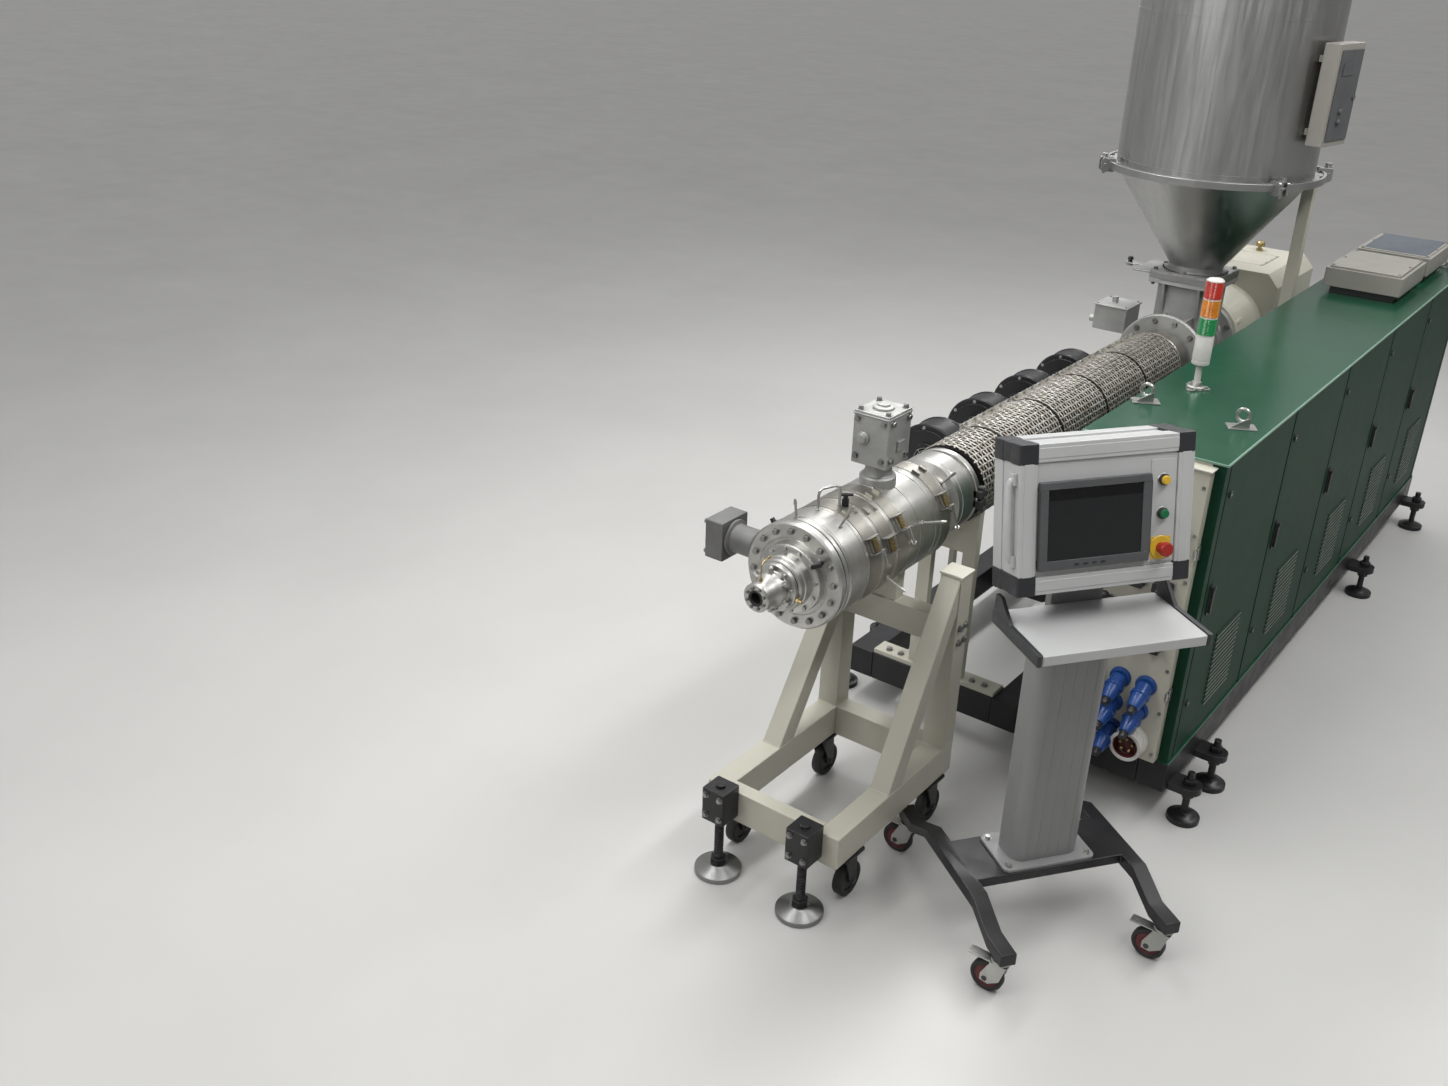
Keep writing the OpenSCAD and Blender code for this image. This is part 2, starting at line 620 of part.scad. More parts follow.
// Swing-bolt clamps round the ring and toggle latches at the lid
clamp_turn = [30, 96, 216, 336];
module ring_clamp() {
    box([ring_r - hopper_r - 34, -26, -flange_t - 16], [ring_r - hopper_r + 34, -12, flange_t + 18]);
    box([ring_r - hopper_r - 34, 12, -flange_t - 16], [ring_r - hopper_r + 34, 26, flange_t + 18]);
    translate([ring_r - hopper_r + 20, 26, 0]) rotate([90, 0, 0]) cylinder(r = 8, h = 52);
    translate([ring_r - hopper_r + 20, 0, -34]) cylinder(r = 8, h = 78);
    translate([ring_r - hopper_r + 20, 0, 20]) cylinder(r = 15, h = 14, $fn = 6);
}
module hopper_clamps() color(steel) row_frame() translate([0, hopper_y, 0]) {
    for (a = clamp_turn) rotate([0, 0, a]) difference() {
        translate([hopper_r, 0, ring_z]) ring_clamp();
        translate([0, 0, ring_z - flange_t - room])
            cylinder(r = ring_r + room, h = 2 * flange_t + 2 * room, $fn = 96);
    }
    for (a = clamp_turn) rotate([0, 0, a]) {
        translate([hopper_r + room, -20, shell_z1 - 190]) cube([8, 40, 120]);
        translate([hopper_r + 20, -14, shell_z1 - 150]) cube([10, 28, 190]);
        translate([hopper_r + 4, -9, shell_z1 - 140]) cube([20, 18, 22]);
        translate([hopper_r - 16, -14, shell_z1 + 30]) cube([46, 28, 10]);
    }
}
control_turn = -12;
module hopper_control_box() color(cast) row_frame() translate([0, hopper_y, 0])
    rotate([0, 0, control_turn]) {
        translate([hopper_r + 24, -100, ring_z + 165]) cube([70, 200, 390]);
        translate([hopper_r + 94, -92, ring_z + 175]) cube([6, 184, 370]);
        difference() {
            for (z = [ring_z + 200, ring_z + 480]) translate([hopper_r - 20, -70, z])
                cube([44, 140, 26]);
            translate([0, 0, ring_z + 100]) cylinder(r = hopper_r + room, h = 600, $fn = 96);
        }
    }
module hopper_post() color(cream) row_frame() translate([post_x, post_y, 0]) {
    translate([-post_s / 2, -post_s / 2, base_top + 10])
        cube([post_s, post_s, ring_z - flange_t - room - base_top - 10]);
    translate([-post_s / 2 - 25, -post_s / 2 - 12, base_top]) cube([post_s + 34, post_s + 24, 10]);
}

// Die head
module die_nozzle() color(steel) row_frame() difference() {
    turned([[0, 0], [nozzle_r - 4, 0], [nozzle_r, 4], [nozzle_r, 52], [nozzle_r + 9, 60],
        [nozzle_r + 9, 104], [nozzle_r + 16, 112], [nozzle_r + 26, 128], [84, 142], [84, 160],
        [108, 164], [108, nozzle_len], [0, nozzle_len]]);
    on_axis(-1) cylinder(r = outlet_r, h = nozzle_len + 2);
}
module die_face_plate() color(steel) row_frame()
    turned([[0, nozzle_len], [face_r - 6, nozzle_len], [face_r, nozzle_len + 6],
        [face_r, nozzle_len + face_t - 3], [face_r - 3, nozzle_len + face_t], [0, nozzle_len + face_t]]);
body_y0 = nozzle_len + face_t;
flange_len = 92;
module die_body() color(steel) row_frame()
    turned([[0, body_y0], [face_r - 8, body_y0], [face_r - 8, body_y0 + 6], [face_r - 3, body_y0 + 9],
        [face_r - 3, body_y0 + flange_len], [body_r, body_y0 + flange_len + 5],
        [body_r, body_end_y - 20], [body_r - 18, body_end_y], [neck_r + 4, body_end_y + 42],
        [neck_r - 10, body_end_y + 50], [neck_r - 10, body_end_y + 70], [neck_r, body_end_y + 74],
        [neck_r, clamp_y - 8], [neck_r - 6, clamp_y - room], [0, clamp_y - room]]);
band_y = [body_y0 + 112, body_y0 + 192, body_y0 + 272, body_end_y - 92];
terminal_turn = [-28, -20, -34, -30];
module heater_bands() color(zinc) row_frame() for (i = [0:3]) on_axis(band_y[i]) {
    tube(body_r + band_t, body_r + room, band_w);
    rotate([0, 0, terminal_turn[i]]) translate([body_r + 2, -24, 8]) cube([34, 48, band_w - 16]);
    rotate([0, 0, terminal_turn[i] + 180]) translate([body_r + 2, -16, 14]) cube([22, 32, band_w - 28]);
}
module barrel_clamp() color(navy) row_frame() {
    on_axis(clamp_y) tube(neck_r + 14, 70, clamp_w);
    for (s = [-1, 1]) translate([s * (neck_r + 18), clamp_y + clamp_w / 2, axis_h]) {
        box([-16, -clamp_w / 2, -26], [16, clamp_w / 2, 26]);
        translate([0, 0, -44]) cylinder(r = 9, h = 88);
    }
}
stub_r = 58;
block_mid_y = band_y[2] + band_w + 3 + stub_r;
block_y0 = block_mid_y - block_s / 2 - 6;
block_z0 = axis_h + 235;
module top_inlet_block() color(cast) row_frame() difference() {
    union() {
        box([-block_s / 2, block_y0, block_z0], [block_s / 2, block_y0 + block_s + 12, block_z0 + block_h]);
        translate([0, block_mid_y, axis_h + body_r - 20]) cylinder(r = 40, h = 100);
        translate([0, block_mid_y, axis_h + body_r + 30]) cylinder(r = stub_r, h = 20);
    }
    on_axis(400) cylinder(r = body_r + room, h = 500, $fn = 96);
    translate([-block_s / 2 - 1, block_mid_y, block_z0 + block_h / 2]) rotate([0, 90, 0]) {
        cylinder(r = port_r, h = 60);
        for (x = [-1, 1], y = [-1, 1]) translate([x * 48, y * 48, 0]) cylinder(r = 5, h = 30);
    }
}
side_y = 290;
side_reach = 360;
side_s = 130;
module side_inlet_block() color(cast) row_frame() difference() {
    translate([-side_reach, side_y, axis_h]) rotate([0, 90, 0]) {
        translate([-side_s / 2, -side_s / 2, 0]) cube([side_s, side_s, 66]);
        translate([0, 0, 66]) cylinder(r = 46, h = side_reach - face_r - 40);
        translate([0, 0, side_reach - face_r - 22]) cylinder(r = 54, h = 40);
    }
    on_axis(200) cylinder(r = face_r - 3 + room, h = 200, $fn = 96);
    translate([-side_reach - 1, side_y, axis_h]) rotate([0, 90, 0]) {
        cylinder(r = port_r, h = 80);
        for (x = [-1, 1], y = [-1, 1]) translate([x * 50, y * 50, 0]) cylinder(r = 5, h = 40);
    }
}

// Die stand
module stand_rails() color(cream) row_frame() for (x = [stand_x0, stand_x1 - rail_w])
    box([x, stand_y0, rail_bottom], [x + rail_w, stand_y1, rail_top]);
saddle_y = stand_y1 - rail_w + 12;
module stand_cross_beams() color(cream) row_frame() {
    inner0 = stand_x0 + rail_w + room;
    inner1 = stand_x1 - rail_w - room;
    // Front channel, open towards the inside
    difference() {
        box([inner0, stand_y0, rail_bottom], [inner1, stand_y0 + 50, rail_top]);
        box([inner0 - 1, stand_y0 + 8, rail_bottom + 8], [inner1 + 1, stand_y0 + 51, rail_top - 8]);
    }
    box([inner0, stand_y1 - rail_w, rail_bottom], [inner1, stand_y1 - 5, rail_top]);
    // Upper beam with the saddle that carries the die body
    difference() {
        union() {
            box([inner0, stand_y1 - rail_w + 5, upper_beam_z], [inner1, stand_y1 - 5, upper_beam_z + upper_beam_h]);
            box([-88, saddle_y, upper_beam_z + upper_beam_h], [88, saddle_y + 46, axis_h - 90]);
        }
        on_axis(stand_y1 - 200) cylinder(r = body_r + room, h = 300, $fn = 96);
    }
}
post_at = [[stand_x0, left_post_top], [stand_x1 - rail_w, post_top]];
module stand_posts() color(cream) row_frame() for (p = post_at) {
    box([p[0], stand_y1 - rail_w, rail_top], [p[0] + rail_w, stand_y1, p[1] - 8]);
    box([p[0] - 4, stand_y1 - rail_w - 4, p[1] - 8], [p[0] + rail_w + 4, stand_y1 + 4, p[1]]);
}
brace_foot_y = stand_y0 + 285;
module stand_braces() color(cream) row_frame() for (p = post_at)
    translate([p[0] + 3, 0, 0]) rotate([90, 0, 90]) linear_extrude(rail_w - 6)
        polygon([[brace_foot_y, rail_top], [brace_foot_y + 84, rail_top],
            [stand_y1 - rail_w - room, p[1] - 130], [stand_y1 - rail_w - room, p[1] - 12]]);
module stand_jacks() color(black) row_frame() for (x = jack_x) translate([x, jack_y, 0]) {
    translate([-jack_s / 2, -jack_s / 2, rail_top - 84]) cube([jack_s, jack_s, 115]);
    cylinder(d = jack_pad_d, h = 20);
    translate([0, 0, 20]) cylinder(d1 = jack_pad_d, d2 = 60, h = 14);
    translate([0, 0, 34]) cylinder(r = 24, h = 30);
    cylinder(r = 15, h = rail_top - 60);
    translate([0, 0, rail_top + 31]) cylinder(r = 10, h = 10, $fn = 6);
}
stand_caster_at = [for (x = [stand_x0 + rail_w / 2, stand_x1 - rail_w / 2], y = [stand_y0 + 105, stand_y1 - 90]) [x, y]];
module stand_casters() color(black) row_frame() for (p = stand_caster_at) translate([p[0], p[1], 0]) {
    r = stand_wheel_d / 2;
    translate([0, 24, r]) rotate([0, 90, 0]) difference() {
        translate([0, 0, -18]) cylinder(r = r, h = 36);
        for (z = [-19, 12]) translate([0, 0, z]) tube(r - 12, 20, 7);
    }
    translate([0, 24, r]) rotate([0, 90, 0]) translate([0, 0, -31]) cylinder(r = 8, h = 62);
    for (s = [-1, 1]) translate([s * 24 - 3, 0, 0]) rotate([90, 0, 90]) linear_extrude(6)
        polygon([[-30, rail_bottom - 16], [34, rail_bottom - 16], [42, r + 6], [24, r - 15], [8, r]]);
    translate([-30, -34, rail_bottom - 16]) cube([60, 70, 8]);
    translate([-45, -50, rail_bottom - 8]) cube([90, 100, 8]);
}

// Console trolley
module console_frame() row_frame() translate([console_x, console_y, 0])
    rotate([0, 0, console_turn]) children();
module console_base() color(black) console_frame() {
    z0 = caster_h;
    front = base_mid - leg_front - leg_end;
    back = base_mid + leg_back + leg_end;
    for (s = [-1, 1]) translate([s * track_w / 2 - leg_w / 2, 0, 0])
        rotate([90, 0, 90]) linear_extrude(leg_w)
            polygon([[front, z0], [front + 85, z0], [front + 190, z0 + leg_rise],
                [back - 190, z0 + leg_rise], [back - 85, z0], [back, z0], [back, z0 + leg_h],
                [back - 95, z0 + leg_h], [back - 200, leg_top],
                [front + 200, leg_top], [front + 95, z0 + leg_h], [front, z0 + leg_h]]);
    box([-track_w / 2 + leg_w / 2, base_mid - 95, leg_top - 32],
        [track_w / 2 - leg_w / 2, base_mid + 95, leg_top]);
}
module enclosure_place() translate([0, 0, panel_z]) rotate([-panel_tilt, 0, 0]) children();
module console_column() color(silver) console_frame() {
    translate([0, base_mid, leg_top]) rounded_plate(300, 180, 10, 20);
    translate([0, base_mid, leg_top + 10])
        rounded_plate(column_w, column_d, column_top - leg_top - 10, 40);
    difference() {
        box([-80, shelf_back + 3, column_top], [80, shelf_back + 53, panel_z + 20]);
        enclosure_place() translate([-panel_w, -panel_d, 0]) cube([2 * panel_w, 2 * panel_d, 100]);
    }
}
frame_s = 44;
module console_enclosure() color(silver) console_frame() enclosure_place() {
    d = panel_d / 2;
    w = panel_w / 2;
    difference() {
        rotate([90, 0, 0]) translate([0, panel_h / 2, -d])
            rounded_plate(panel_w, panel_h, panel_d, 14);
        // Front recess inside the profile frame
        box([-w + frame_s, -d - 1, frame_s], [w - frame_s, -d + 6, panel_h - frame_s]);
    }
    // Moulded grip along the left side
    box([-w - 16, -d + 36, 80], [-w + 1, -d + 60, panel_h - 80]);
}
screen_w = 300;
screen_h = 236;
module push_button(r, h) rotate([90, 0, 0]) {
    cylinder(r = r + 4, h = 5);
    cylinder(r = r, h = h);
}
module console_controls() color([0.3, 0.31, 0.33]) console_frame() enclosure_place()
    translate([0, -panel_d / 2 + 6, 0]) {
        left = -panel_w / 2 + frame_s + 12;
        button_x = panel_w / 2 - frame_s - 38;
        difference() {
            box([left, -16, 66], [left + screen_w, 0, 66 + screen_h]);
            box([left + 24, -17, 66 + 26], [left + screen_w - 24, -12, 66 + screen_h - 22]);
        }
        translate([button_x, 0, 284]) push_button(12, 22);
        translate([button_x, 0, 206]) push_button(12, 22);
        translate([button_x, 0, 122]) {
            translate([-30, -4, -30]) cube([60, 4, 60]);
            rotate([90, 0, 0]) {
                cylinder(r = 18, h = 26);
                translate([0, 0, 22]) cylinder(r1 = 18, r2 = 24, h = 8);
                translate([0, 0, 30]) cylinder(r = 24, h = 10);
            }
        }
    }
module console_shelf() color(silver) console_frame() {
    y0 = shelf_back - shelf_d;
    translate([0, (y0 + shelf_back) / 2, column_top]) rounded_plate(shelf_w, shelf_d, shelf_t, 12);
    for (s = [-1, 1]) translate([s * (shelf_w / 2 - 7) - 7, 0, 0]) rotate([90, 0, 90]) linear_extrude(14)
        polygon([[shelf_back - 6, column_top + shelf_t], [shelf_back - 6, panel_z - 20],
            [shelf_back - 34, panel_z - 20], [shelf_back - 100, column_top + shelf_t]]);
}

// Casters: fork that swivels, wheel that rolls in it; they trail towards -X at rest
fork_t = 3;
fork_gap = 3;
module caster_place(i) row_frame()
    translate([console_x + caster_at[i][0] * cos(console_turn) - caster_at[i][1] * sin(console_turn),
        console_y + caster_at[i][0] * sin(console_turn) + caster_at[i][1] * cos(console_turn), 0])
        children();
axle_r = 6;
module caster_fork(i) color(zinc) caster_place(i) {
    inner = wheel_w / 2 + fork_gap;
    translate([0, 0, caster_h - 7]) cylinder(r = 30, h = 7 - room);
    translate([0, 0, caster_h - 14]) cylinder(r = 24, h = 7);
    for (s = [-1, 1]) translate([0, s * (inner + fork_t / 2) + fork_t / 2, 0]) rotate([90, 0, 0])
        linear_extrude(fork_t) polygon([[-24, caster_h - 14], [24, caster_h - 14],
            [8, wheel_d / 2 + 8], [-caster_trail + 12, wheel_d / 2 - 14],
            [-caster_trail - 14, wheel_d / 2 - 10], [-caster_trail - 14, wheel_d / 2 + 12]]);
    translate([-26, -inner - fork_t, caster_h - 17]) cube([52, 2 * (inner + fork_t), 4]);
    translate([-caster_trail, inner + fork_t, wheel_d / 2]) rotate([90, 0, 0])
        cylinder(r = axle_r, h = 2 * (inner + fork_t));
    // Brake pedal
    translate([-caster_trail - 62, -16, caster_h - 20]) cube([caster_trail + 42, 32, 4]);
}
module caster_wheel(i) color([0.35, 0.08, 0.08]) caster_place(i)
    translate([-caster_trail, 0, wheel_d / 2]) rotate([90, 0, 0]) difference() {
        rotate_extrude() polygon([[axle_r + room, -wheel_w / 2], [17, -wheel_w / 2], [19, -wheel_w / 2 + 6],
            [wheel_d / 2 - 11, -wheel_w / 2 + 6], [wheel_d / 2 - 9, -wheel_w / 2 + 2],
            [wheel_d / 2 - 3, -wheel_w / 2 + 3], [wheel_d / 2, -wheel_w / 2 + 8],
            [wheel_d / 2, wheel_w / 2 - 8], [wheel_d / 2 - 3, wheel_w / 2 - 3],
            [wheel_d / 2 - 9, wheel_w / 2 - 2], [wheel_d / 2 - 11, wheel_w / 2 - 6],
            [19, wheel_w / 2 - 6], [17, wheel_w / 2], [axle_r + room, wheel_w / 2]]);
    }

// Cabinet doors, with pressed louvres, swing handle and locks
louvre_w = 202;
louvre_z0 = 404;
louvre_h = 210;
slats = 12;
pin_r = 4;
pin_len = door_room - room;
module door(i) color(green) row_frame() {
    y0 = door_front[i];
    box([door_x - door_t, y0, door_z0], [door_x, y0 + door_w, door_z1]);
    // Hinge lugs and pins at the rear edge, which turn in the roof and the floor
    for (z = [[door_z0, -pin_len], [door_z1 - 5, 5]]) translate([door_x - pin_r, 0, z[0]]) {
        translate([0, y0 + door_w - 1, 0]) cube([pin_r, hinge_back + 1, 5]);
        translate([pin_r, y0 + door_w + hinge_back, min(z[1], 0)]) cylinder(r = pin_r, h = pin_len + 5);
    }
    for (k = [0:slats - 1]) translate([door_x, y0 + 235, louvre_z0 + k * louvre_h / slats])
        rotate([90, 0, 90]) linear_extrude(5) square([louvre_w, louvre_h / slats * 0.45]);
    translate([door_x, y0 + 30, 750]) cube([14, 26, 130]);
    translate([door_x + 14, y0 + 33, 765]) cube([12, 20, 100]);
    for (z = [430, 1183]) translate([door_x, y0 + 36, z]) rotate([0, 90, 0]) cylinder(r = 13, h = 8);
}

base_side_beams();
base_cross_beams();
machine_feet();
cabinet_roof();
cabinet_floor();
cabinet_walls();
cabinet_posts();
connector_panel();
panel_sockets();
roof_fan_hoods();
lifting_eyes();
signal_tower();
gearbox();
bearing_housing();
drive_motor();
feed_throat();
throat_box();
barrel();
barrel_support();
zone_covers();
blowers();
gate_frame();
hopper_cone();
hopper_shell();
hopper_lid();
hopper_clamps();
hopper_control_box();
hopper_post();
die_nozzle();
die_face_plate();
die_body();
heater_bands();
barrel_clamp();
top_inlet_block();
side_inlet_block();
stand_rails();
stand_cross_beams();
stand_posts();
stand_braces();
stand_jacks();
stand_casters();
console_base();
console_column();
console_enclosure();
console_controls();
console_shelf();
door(0);  // door_1
door(1);  // door_2
door(2);  // door_3
door(3);  // door_4
door(4);  // door_5
slide_gate();
caster_fork(0);  // caster_fork_1
caster_fork(1);  // caster_fork_2
caster_fork(2);  // caster_fork_3
caster_fork(3);  // caster_fork_4
caster_wheel(0);  // caster_wheel_1
caster_wheel(1);  // caster_wheel_2
caster_wheel(2);  // caster_wheel_3
caster_wheel(3);  // caster_wheel_4
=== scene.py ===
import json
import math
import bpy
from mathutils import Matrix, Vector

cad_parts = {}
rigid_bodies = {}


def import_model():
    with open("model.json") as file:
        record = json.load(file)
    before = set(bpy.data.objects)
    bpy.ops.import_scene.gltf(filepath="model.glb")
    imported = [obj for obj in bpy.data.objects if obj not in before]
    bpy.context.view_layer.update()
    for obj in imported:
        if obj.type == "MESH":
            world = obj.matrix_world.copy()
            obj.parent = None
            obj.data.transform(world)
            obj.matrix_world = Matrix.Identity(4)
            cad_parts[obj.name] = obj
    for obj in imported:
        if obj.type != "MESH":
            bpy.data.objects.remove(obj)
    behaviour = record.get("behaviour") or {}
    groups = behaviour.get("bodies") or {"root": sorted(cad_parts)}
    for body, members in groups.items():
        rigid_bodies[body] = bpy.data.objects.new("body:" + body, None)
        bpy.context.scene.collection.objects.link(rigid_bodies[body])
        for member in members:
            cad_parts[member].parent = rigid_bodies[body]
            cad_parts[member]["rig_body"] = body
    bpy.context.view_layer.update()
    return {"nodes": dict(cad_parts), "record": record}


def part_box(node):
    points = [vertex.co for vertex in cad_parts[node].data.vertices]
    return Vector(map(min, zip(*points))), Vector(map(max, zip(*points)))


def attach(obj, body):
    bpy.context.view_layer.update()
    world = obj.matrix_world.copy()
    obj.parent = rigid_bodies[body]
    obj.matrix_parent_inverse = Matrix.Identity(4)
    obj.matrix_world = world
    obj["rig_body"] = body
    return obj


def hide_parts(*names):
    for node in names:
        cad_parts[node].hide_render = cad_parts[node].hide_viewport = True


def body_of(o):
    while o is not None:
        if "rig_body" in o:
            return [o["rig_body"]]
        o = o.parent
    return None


bl_info = {
    "name": "Plastic extruder",
    "version": (1, 0, 0),
    "blender": (4, 5, 0),
    "location": "View3D > Sidebar > Extruder",
    "description": "Dresses a single-screw extruder with its detailed pieces and finishes",
    "category": "Object",
}

import bmesh
import bpy
from bpy.props import FloatProperty, FloatVectorProperty, IntProperty, PointerProperty
from mathutils import Matrix, Vector

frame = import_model()

# Places are written in millimetres from the floor point under the nozzle lips
LIPS_LOW, LIPS_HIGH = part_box("die_nozzle")
MID = Vector((-(LIPS_LOW[0] + LIPS_HIGH[0]) / 2, -LIPS_LOW[1], 0))
AXIS_H = 1000
FINISHES = {}


def spot(p):
    """A place in millimetres as a place in the row's frame."""
    return Vector(p) * 0.001 - MID


def along_axis(y=0):
    """Turns a shape drawn up Z so that it runs along the extrusion axis."""
    return Matrix.Translation((0, y, AXIS_H)) @ Matrix.Rotation(-math.pi / 2, 4, "X")


def shift(x=0, y=0, z=0):
    return Matrix.Translation((x, y, z))


def turn(degrees, axis="Z"):
    return Matrix.Rotation(math.radians(degrees), 4, axis)


HERE = Matrix()
# Turn +Z towards the nozzle's end, the drive's end, the door side and the hidden side
TO_FRONT, TO_BACK = turn(90, "X"), turn(-90, "X")
TO_RIGHT, TO_LEFT = turn(90, "Y"), turn(-90, "Y")
# Turn an outline's X and Y into Y and Z, or into X and Z; its height goes along the third
ALONG_X = Matrix(((0, 0, 1, 0), (1, 0, 0, 0), (0, 1, 0, 0), (0, 0, 0, 1)))
UPRIGHT = Matrix(((1, 0, 0, 0), (0, 0, 1, 0), (0, 1, 0, 0), (0, 0, 0, 1)))


def facing(direction):
    """Turns +Z towards a direction."""
    return Vector(direction).to_track_quat("Z", "Y").to_matrix().to_4x4()


def unit_circle(n):
    """Cosines and sines of n steps round a circle, from 0 to a full turn."""
    return [(math.cos(math.tau * k / n), math.sin(math.tau * k / n)) for k in range(n + 1)]


class Form:
    """Closed shapes gathered into one mesh; at is where the next shape is put."""

    def __init__(self):
        self.bm = bmesh.new()
        self.at = Matrix()

    def put(self, place):
        self.at = place
        return self

    def add(self, points, faces):
        made = [self.bm.verts.new(self.at @ Vector(p)) for p in points]
        for f in faces:
            self.bm.faces.new([made[i] for i in f])
        return self

    def box(self, low, high):
        (a, b, c), (d, e, f) = low, high
        points = [(x, y, z) for z in (c, f) for y in (b, e) for x in (a, d)]
        return self.add(points,
                        [(0, 2, 3, 1), (4, 5, 7, 6), (0, 1, 5, 4), (2, 6, 7, 3), (0, 4, 6, 2), (1, 3, 7, 5)])

    def prism(self, outline, h):
        n = len(outline)
        points = [(x, y, 0) for x, y in outline] + [(x, y, h) for x, y in outline]
        sides = [(i, (i + 1) % n, n + (i + 1) % n, n + i) for i in range(n)]
        return self.add(points, [tuple(reversed(range(n))), tuple(range(n, 2 * n))] + sides)

    def rounded(self, w, d, h, r, steps=5):
        outline = []
        for k, (sx, sy) in enumerate(((1, 1), (-1, 1), (-1, -1), (1, -1))):
            for i in range(steps + 1):
                a = math.pi / 2 * (k + i / steps)
                outline.append((sx * (w / 2 - r) + r * math.cos(a), sy * (d / 2 - r) + r * math.sin(a)))
        return self.prism(outline, h)

    def lathe(self, profile, n=48, shut=True):
        """Turns points of (radius, height) round Z; shut joins the last point to the first."""
        rings, faces, points = [], [], []
        for r, z in profile:
            if r < 1e-6:
                rings.append([len(points)] * n)
                points.append((0, 0, z))
            else:
                rings.append(list(range(len(points), len(points) + n)))
                points += [(r * c, r * d, z) for c, d in unit_circle(n)[:-1]]
        count = len(profile)
        for k in range(count if shut else count - 1):
            a, b = rings[k], rings[(k + 1) % count]
            for i in range(n):
                j = (i + 1) % n
                face = []
                for v in (a[i], a[j], b[j], b[i]):
                    if v not in face:
                        face.append(v)
                if len(face) > 2:
                    faces.append(tuple(face))
        return self.add(points, faces)

    def rod(self, r, h, n=24, r2=None, z=0):
        r2 = r if r2 is None else r2
        return self.lathe([(0, z), (r, z), (r2, z + h), (0, z + h)], n, False)

    def ring(self, outer, inner, h, n=48, z=0):
        return self.lathe([(inner, z), (outer, z), (outer, z + h), (inner, z + h)], n)

    def sweep(self, path, r, n=8):
        """Round bar along a path."""
        path = [Vector(p) for p in path]
        points, side = [], None
        for i, p in enumerate(path):
            d = (path[min(i + 1, len(path) - 1)] - path[max(i - 1, 0)]).normalized()
            if side is None:
                side = d.orthogonal().normalized()
            side = (side - d * side.dot(d)).normalized()
            up = d.cross(side)
            points += [tuple(p + (side * c + up * s) * r) for c, s in unit_circle(n)[:-1]]
        faces = [tuple(reversed(range(n))), tuple(range(len(points) - n, len(points)))]
        for i in range(len(path) - 1):
            for k in range(n):
                m = (k + 1) % n
                faces.append((i * n + k, i * n + m, (i + 1) * n + m, (i + 1) * n + k))
        return self.add(points, faces)


# The part's material slot that stands for each finish, unless a piece says otherwise
SLOT = {
    "band_metal": "bright_zinc", "bezel_grey": "dark_controls", "black_enamel": "black_cast",
    "black_plastic": "black_cast", "black_rubber": "wheel_black", "blue_plastic": "blue_plastic",
    "bolt_steel": "machined_steel", "brass": "bright_zinc", "cast_grey": "grey_cast", "cast_mid": "grey_cast",
    "column_silver": "silver_profile", "console_white": "silver_profile", "cream_paint": "cream_paint",
    "dark_cast": "black_cast", "dark_red_plastic": "wheel_maroon", "die_steel": "machined_steel",
    "green_door": "dark_green", "green_edge": "dark_green", "green_plastic": "dark_controls",
    "green_slat": "dark_green", "grey_plastic": "dark_controls", "ground_steel": "bright_zinc",
    "hood_cream": "cream_paint", "maroon_rubber": "wheel_maroon", "mesh_dark": "cover_mesh",
    "mesh_metal": "cover_mesh", "motor_paint": "motor_grey", "red_plastic": "dark_controls",
    "screen_dark": "dark_controls", "screen_glass": "dark_controls", "stainless": "stainless",
    "white_plastic": "tower_plastic", "yellow_plastic": "dark_controls", "zinc": "bright_zinc",
}


def linked(name, data):
    """New object in the scene."""
    obj = bpy.data.objects.new(name, data)
    bpy.context.scene.collection.objects.link(obj)
    return obj


def settle(obj, body, finish, slot="", replaces=(), bevel=0.0, smooth=32):
    """Gives an object its finish, shading and broken edges, and its place in the part's tree."""
    mesh = obj.data
    mesh.materials.clear()
    mesh.materials.append(FINISHES[finish])
    mesh.shade_smooth()
    mesh.set_sharp_from_angle(angle=math.radians(smooth))
    if bevel:
        edge = obj.modifiers.new("Edge", "BEVEL")
        edge.width = bevel * 0.001
        edge.segments = 2
        edge.limit_method = "ANGLE"
        edge.angle_limit = math.radians(smooth)
        edge.harden_normals = True
    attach(obj, body)
    slot or SLOT[finish]
    if replaces:
        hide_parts(*replaces)
    return obj


def piece(name, form, finish, body="root", replaces=(), bevel=0.0, smooth=32, slot=""):
    """Makes an object from a Form, in metres and in the row's frame."""
    bmesh.ops.remove_doubles(form.bm, verts=form.bm.verts, dist=0.001)
    bmesh.ops.recalc_face_normals(form.bm, faces=form.bm.faces)
    for v in form.bm.verts:
        v.co = v.co * 0.001 - MID
    mesh = bpy.data.meshes.new(name)
    form.bm.to_mesh(mesh)
    form.bm.free()
    return settle(linked(name, mesh), body, finish, slot, replaces, bevel, smooth)


def edged(node, finish, bevel=1.5, smooth=32):
    """Copy of a CAD node with its edges broken."""
    source = frame["nodes"][node]
    mesh = source.data.copy()
    bm = bmesh.new()
    bm.from_mesh(mesh)
    bmesh.ops.remove_doubles(bm, verts=bm.verts, dist=2e-5)
    bmesh.ops.dissolve_limit(bm, angle_limit=math.radians(0.6), verts=bm.verts, edges=bm.edges)
    bm.to_mesh(mesh)
    bm.free()
    obj = linked(node + "_edged", mesh)
    slots = {s["node"]: s["material_slot"] for s in frame["record"]["subparts"]}
    return settle(obj, body_of(source)[0], finish, slots[node], [node], bevel, smooth)


